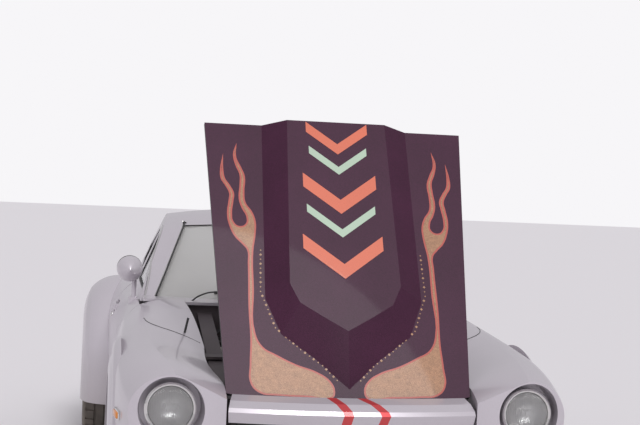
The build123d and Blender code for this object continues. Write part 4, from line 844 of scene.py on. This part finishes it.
# Outside fittings: bright strips up the windshield pillars and over the doors, wipers parked along
# the glass, round mirror glass, amber and red side lamps, rubber strips on the bumpers, a bright
# frame round each ribbed tail lamp, locks, and the seams of the fuel flap and the fender lids.
amber_lens = finish("amber_lens", (0.72, 0.24, 0.03), 0.18, coat=0.5, dust=(0.1, 0.5))
skins = {}


def on_skin(node, start, aim, lift=0):
    """Where a line meets the skin of a CAD node, with the way the skin faces."""
    if node not in skins:
        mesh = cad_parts[node].data
        skins[node] = BVHTree.FromPolygons(
            [vert.co for vert in mesh.vertices], [face.vertices[:] for face in mesh.polygons])
    place, facing, _, _ = skins[node].ray_cast(Vector(start), Vector(aim))
    if facing.dot(Vector(aim)) > 0:
        facing = -facing
    return place + facing * lift, facing


def skin_line(node, starts, aim, lift=0):
    """A line of points laid on the skin of a CAD node."""
    return [on_skin(node, start, aim, lift)[0] for start in starts]


def fitted(form, node, start, aim, size, bevel):
    """A block of width, height and depth that stands on a skin and faces as it does."""
    place, facing = on_skin(node, start, aim)
    across = Vector((0, 0, 1)).cross(facing).normalized()
    middle = place + facing * (size[2] / 2 - 0.002)
    set_box(form, size, placed(middle, across, facing.cross(across), facing), bevel)


pillar_line = mm((470, 897), (380, 944), (300, 985), (150, 1052), (0, 1122), (-100, 1158),
    (-200, 1175), (-350, 1189), (-420, 1188))
strips = [skin_line("roof_shell", [(x, 2 * s, z) for x, z in pillar_line], (0, -s, 0), 0.0015)
    for s in (1, -1)]
tubes("pillar_strips", strips, 0.0055, chrome)
down = (0, 0, -1)
blades, arms = [], []
for pivot_y, low_y, high_y in ((0.02, 0.13, 0.5), (-0.48, -0.37, 0.01)):
    steps = [low_y + (high_y - low_y) * n / 6 for n in range(7)]
    line = [(0.562 - 0.36 * y * y, y, 2) for y in steps]
    blades.append(skin_line("windshield", line, down, 0.006))
    spine = skin_line("windshield", line, down, 0.012)
    arms += [spine, [Vector((0.662, pivot_y, 0.903)), Vector((0.648, pivot_y + 0.03, 0.924)),
        spine[1] + Vector((0.022, -0.03, 0.004)), spine[3]]]
tubes("wiper_blades", blades, 0.0045, seal_rubber)
tubes("wiper_arms", arms, 0.0035, satin_black)
mirror_rim = mm((-6, 58), (3, 59), (4, 56), (1.5, 53.5), (-4, 53))
door_lock = mm((-2, 13), (3, 12.5), (4.5, 9), (3, 3), (3, 0))
mirror_face = mm((1, 53.5), (1.5, 53), (2.5, 30), (3, 0))
backwards = (-1, 0, 0)
for side, side_name in both_sides:
    middle, door = (0.2475, side * 0.742, 1.01), f"door_{side_name}"
    lock, facing = on_skin(door, (-0.345, side * 2, 0.735), (0, -side, 0))
    brights = [(mirror_rim, middle, backwards, 40), (door_lock, lock, facing, 24)]
    shaped(f"door_brights_{side_name}", chrome, brights, (), door)
    panes = [(mirror_face, middle, backwards, 40)]
    shaped(f"mirror_glass_{side_name}", mirror_glass, panes, (), door)
ambers, reds, surrounds = (bmesh.new() for _ in range(3))
for side, side_name in both_sides:
    inwards = (0, -side, 0)
    start = (3, side * 0.46, 0.35)
    fitted(surrounds, "front_valance", start, backwards, (0.132, 0.05, 0.012), 0.004)
    fitted(ambers, "front_valance", start, backwards, (0.12, 0.04, 0.024), 0.009)
    for lenses, node, x in ((ambers, "front_fender_", 1.735), (reds, "rear_quarter_", -1.735)):
        start = (x, side * 2, 0.6)
        fitted(surrounds, node + side_name, start, inwards, (0.092, 0.034, 0.008), 0.003)
        fitted(lenses, node + side_name, start, inwards, (0.08, 0.024, 0.014), 0.005)
    y = side * 0.352
    boxed(surrounds, (-2.048, y - 0.024, 0.452), (-2.006, y + 0.024, 0.55), 0.012, 3)
finished(ambers, "amber_lamps", amber_lens)
finished(reds, "side_lamps", lamp_red)
hatch_lock = mm((0, 17), (5, 16.5), (8, 12), (6, 4), (6, 0))
turned(surrounds, hatch_lock, (-1.997, 0, 0.772), backwards, 24)
pipe_tip = mm((-90, 24.6), (-88, 27.5), (-2, 29), (4, 27.5), (1, 22.5), (-50, 21.5))
turned(surrounds, pipe_tip, (-2.037, -0.35, 0.25), backwards, 36)
finished(surrounds, "lamp_and_pipe_brights", chrome)
steps = [n / 20 for n in range(21)]
forwards = (1, 0, 0)
front_line = [(3, -0.63 + 1.26 * n, 0.429) for n in steps]
rear_line = [(-3, -0.63 + 1.26 * n, 0.501) for n in steps]
tubes("bumper_strips", [skin_line("front_bumper", front_line, backwards, 0.001),
    skin_line("rear_bumper", rear_line, forwards, 0.001)], 0.0075, seal_rubber, sides=2)
frames, ribs = [], []
for s in (1, -1):
    edge = [(0.255 + 0.34 * k / 8, 0.616) for k in range(9)]
    edge += [(0.595 - 0.34 * k / 8, 0.714) for k in range(9)] + edge[:1]
    bars = [[(y, z) for z in (0.616, 0.665, 0.714)] for y in (0.368, 0.482)]
    for line in [edge] + bars:
        frames.append(skin_line("tail_lamps", [(-3, s * y, z) for y, z in line], forwards, 0.001))
    for z in (0.64, 0.665, 0.69):
        line = [(-3, s * (0.262 + 0.326 * n), z) for n in steps[::2]]
        ribs.append(skin_line("tail_lamps", line, forwards))
tubes("tail_lamp_frames", frames, 0.0045, chrome, "body", False, 2)
tubes("tail_lamp_ribs", ribs, 0.0022, lamp_red, "body", False, 2)
flap_turns = [2 * pi * n / 24 for n in range(25)]
flap = [(-1.455 + 0.085 * cos(t) * (1.15 if abs(cos(t)) > 0.2 else 1), -2, 0.752 + 0.058 * sin(t))
    for t in flap_turns]
lid_seam = mm((1020, 697), (1114, 683), (1213, 640), (1261, 595), (1293, 547), (1314, 489))
seams = [skin_line("rear_quarter_right", flap, (0, 1, 0))]
for side, side_name in both_sides:
    line = [(x, side * y, 2) for x, y in lid_seam]
    seams.append(skin_line("front_fender_" + side_name, line, down))
tubes("panel_seams", seams, 0.0016, seal_rubber, "body", True, 1)
foot = on_skin("front_fender_right", (1.245, -0.545, 2), down)[0]
stub = [foot, foot + Vector((-0.01, 0.012, 0.055))]
stub_base = [foot - Vector((0.01, 0, 0.002)), foot + Vector((0.01, 0, 0.003))]
tubes("aerial_stub", [stub, stub_base], 0.0045, satin_black, smooth=False, sides=2)

# Engine dressing: a ribbed alloy cover with cap nuts, six plug leads from a distributor, pairs of
# air horns on the carburettors with a fuel rail, an alternator and its belt, and a black fan, all
# bolted to the engine.
hose_rubber = finish("hose_rubber", (0.028, 0.027, 0.027), 0.7, bump=(0.0005, 300), dust=(0.6, 1))
alloy_dull = finish("alloy_dull", (0.42, 0.42, 0.41), 0.45, 0.85, bump=(0.0005, 220),
    patches=(0.25, 15), dust=(0.5, 1))
lead_orange = finish("lead_orange", (0.45, 0.1, 0.03), 0.5, dust=(0.2, 0.5))
upwards, leftwards = (0, 0, 1), (0, 1, 0)
oil_cap = mm((0, 30), (12, 31), (18, 27), (19, 0))
cap_nut = mm((0, 10), (8, 9), (12, 5), (12, 0))
horn = mm((-2, 22), (22, 22), (42, 28), (50, 33), (52, 31), (40, 24), (20, 19), (-2, 19))
alternator = mm((-55, 0), (-55, 50), (-40, 58), (20, 58), (36, 46), (36, 16), (60, 16), (60, 0))
carburettors = (0.9875, 1.1575, 1.3275)
ribs = [((0.875, y, 0.69), (1.33, y + 0.006, 0.697), 0.002) for y in (-0.03, -0.012, 0.006, 0.024)]
alloys = [(oil_cap, (1.395, 0, 0.69), upwards, 8)]
alloys.append((alternator, (1.465, -0.168, 0.462), forwards, 32))
alloys += [(cap_nut, (x, 0, 0.691), upwards, 12) for x in (0.862, 1.06, 1.26, 1.462)]
alloys += [(horn, (x + off, 0.232, 0.618), leftwards, 24)
    for x in carburettors for off in (-0.032, 0.032)]
shaped("engine_alloys", alloy_dull, alloys, ribs)
form = bmesh.new()
hub = Vector((1.531, 0, 0.47))
hub_front = Matrix.Translation(hub + Vector((0.032, 0, 0)))
turned(form, mm((0, 62), (18, 62), (18, 34), (40, 34), (40, 0)), hub, forwards, 28)
for n in range(6):
    blade = Matrix.Translation((0, 0, 0.095)) @ Matrix.Rotation(radians(28), 4, "Z")
    spread = hub_front @ Matrix.Rotation(2 * pi * n / 6, 4, "X") @ blade
    set_box(form, (0.003, 0.052, 0.125), spread)
distributor = mm((0, 21), (45, 21), (50, 36), (76, 34), (84, 24), (86, 0))
turned(form, distributor, (1.425, -0.14, 0.57), (0.1, -0.35, 1), 24)
finished(form, "fan_and_distributor", satin_black)
belt = mm((58, 470), (30, 520), (-40, 528), (-160, 500), (-200, 462), (-165, 428), (-30, 370),
    (40, 385), (58, 470))
tubes("fan_belt", [[(1.541, y, z) for y, z in belt]], 0.005, hose_rubber, "body", True, 1)
cap = Vector((1.432, -0.17, 0.655))
plugs = [1.44 - 0.108 * n for n in range(6)]
leads = [[cap, cap + Vector((-0.03 - 0.012 * n, -0.012, 0.045 + 0.006 * n)),
    (x + 0.05, -0.15, 0.665), (x, -0.118, 0.62), (x, -0.098, 0.585)] for n, x in enumerate(plugs)]
tubes("plug_leads", leads, 0.0038, lead_orange, sides=1)
rail = [mm((900, 245, 690), (1100, 250, 694), (1400, 245, 690), (1470, 180, 600))]
rail += [[(x, 0.247, 0.691), (x, 0.235, 0.68), (x, 0.205, 0.672)] for x in carburettors]
tubes("fuel_rail", rail, 0.005, chrome)

# Bay equipment: hoses and a pressure cap on the radiator, a battery on a shelf bolted to the
# firewall, two brake cylinders with pale pots, a washer bottle, a cloth-bound wiring loom along
# the side panels, a tray under the engine's nose and steel ribs under the hood.
top_hose = mm((1470, -30, 615), (1540, -50, 650), (1630, -130, 655), (1704, -185, 618))
low_hose = mm((1480, 85, 350), (1560, 120, 322), (1640, 175, 335), (1704, 205, 372))
tubes("radiator_hoses", [top_hose, low_hose], 0.02, hose_rubber)
tubes("heater_hoses", [mm((716, -60, 700), (780, -62, 705), (830, -65, 670), (845, -66, 600)),
    mm((716, -105, 700), (790, -118, 700), (900, -150, 640), (960, -125, 575)),
    mm((1500, 110, 600), (1400, 335, 640), (1100, 365, 640), (900, 335, 655), (716, 250, 660))],
    0.01, hose_rubber, sides=2)
black_case = finish("black_case", (0.018, 0.018, 0.019), 0.4, dust=(0.4, 1.1))
pale_plastic = finish("pale_plastic", (0.6, 0.57, 0.48), 0.4, patches=(0.2, 20), dust=(0.4, 1.1))
cell_cap = mm((0, 10), (5, 10), (6, 0))
pot_cap = mm((0, 21), (12, 21), (14, 0))
bottle_cap = mm((0, 20), (16, 20), (17, 0))
pot = mm((0, 0), (0, 19), (55, 20), (60, 17), (60, 0))
cylinder = mm((0, 34), (10, 34), (12, 21), (125, 19), (130, 0))
collar = mm((-6, 12), (4, 12))
terminal = mm((0, 8), (14, 7), (14, 0))
radiator_cap = mm((-4, 17), (6, 31), (14, 31), (19, 24), (20, 0))
pot_ys = (0.405, 0.33)
caps = [(cell_cap, (0.818, -0.372 + 0.028 * n, 0.758), upwards, 12) for n in range(6)]
caps += [(pot_cap, (0.8, y, 0.828), upwards, 20) for y in pot_ys]
caps.append((bottle_cap, (0.985, -0.342, 0.742), upwards, 20))
shaped("battery_and_caps", black_case, caps, [
    ((0.738, -0.382, 0.57), (0.898, -0.222, 0.742), 0.006),
    ((0.735, -0.385, 0.742), (0.901, -0.219, 0.758), 0.004)])
shaped("reservoir_pots", pale_plastic, [(pot, (0.8, y, 0.768), upwards, 24) for y in pot_ys],
    [((0.93, -0.394, 0.585), (1.04, -0.29, 0.742), 0.012, 3)])
fittings = [(cylinder, (0.719, y, 0.75), forwards, 24) for y in pot_ys]
fittings += [(collar, (0.8, y, 0.766), upwards, 16) for y in pot_ys]
fittings += [(terminal, (0.765, y, 0.758), upwards, 14) for y in (-0.345, -0.26)]
fittings.append((radiator_cap, (1.7255, -0.2, 0.662), upwards, 28))
shaped("bay_fittings", alloy_dull, fittings, [
    ((0.719, -0.396, 0.562), (0.912, -0.208, 0.57), 0.002),
    ((0.925, -0.398, 0.572), (1.045, -0.285, 0.585), 0.003)])
live = mm((765, -345, 770), (790, -300, 800), (850, -205, 760), (900, -175, 560))
earth = mm((765, -260, 770), (745, -240, 785), (724, -225, 730))
tubes("battery_cables", [live, earth], 0.006, lead_orange, sides=2)
loom = mm((724, 200, 800), (760, 340, 800), (830, 388, 775), (1200, 392, 735), (1560, 392, 680),
    (1820, 390, 600))
tubes("bay_loom", [[(x, s * y, z) for x, y, z in loom] for s in (1, -1)], 0.008, satin_black,
    sides=2)
shaped("splash_tray", dark_metal, (), [
    ((1.345, -0.388, 0.256), (1.83, 0.388, 0.26), 0.0015),
    ((1.36, 0.384, 0.258), (1.82, 0.388, 0.345), 0.0015),
    ((1.36, -0.388, 0.258), (1.82, -0.384, 0.345), 0.0015),
    ((0.72, -0.03, 0.785), (0.772, 0.03, 0.836), 0.004)])


def under_hood(along, across, depth=0.027):
    """A point below the hood's skin."""
    return hood_foot + hood_along * along + Vector((0, across, 0)) - hood_out * depth


rib_lines = (mm((120, 360), (600, 300), (1060, 100)), mm((120, -360), (600, -300), (1060, -100)),
    mm((620, -290), (620, 290)), mm((1040, -360), (1040, 360)))
tubes("hood_ribs", [[under_hood(*point) for point in line] for line in rib_lines], 0.012,
    satin_black, "hood")
striker = mm((1095, -20, 16), (1095, -20, 50), (1095, 20, 50), (1095, 20, 16))
tubes("hood_striker", [[under_hood(*point) for point in striker]], 0.004, chrome, "hood",
    False)
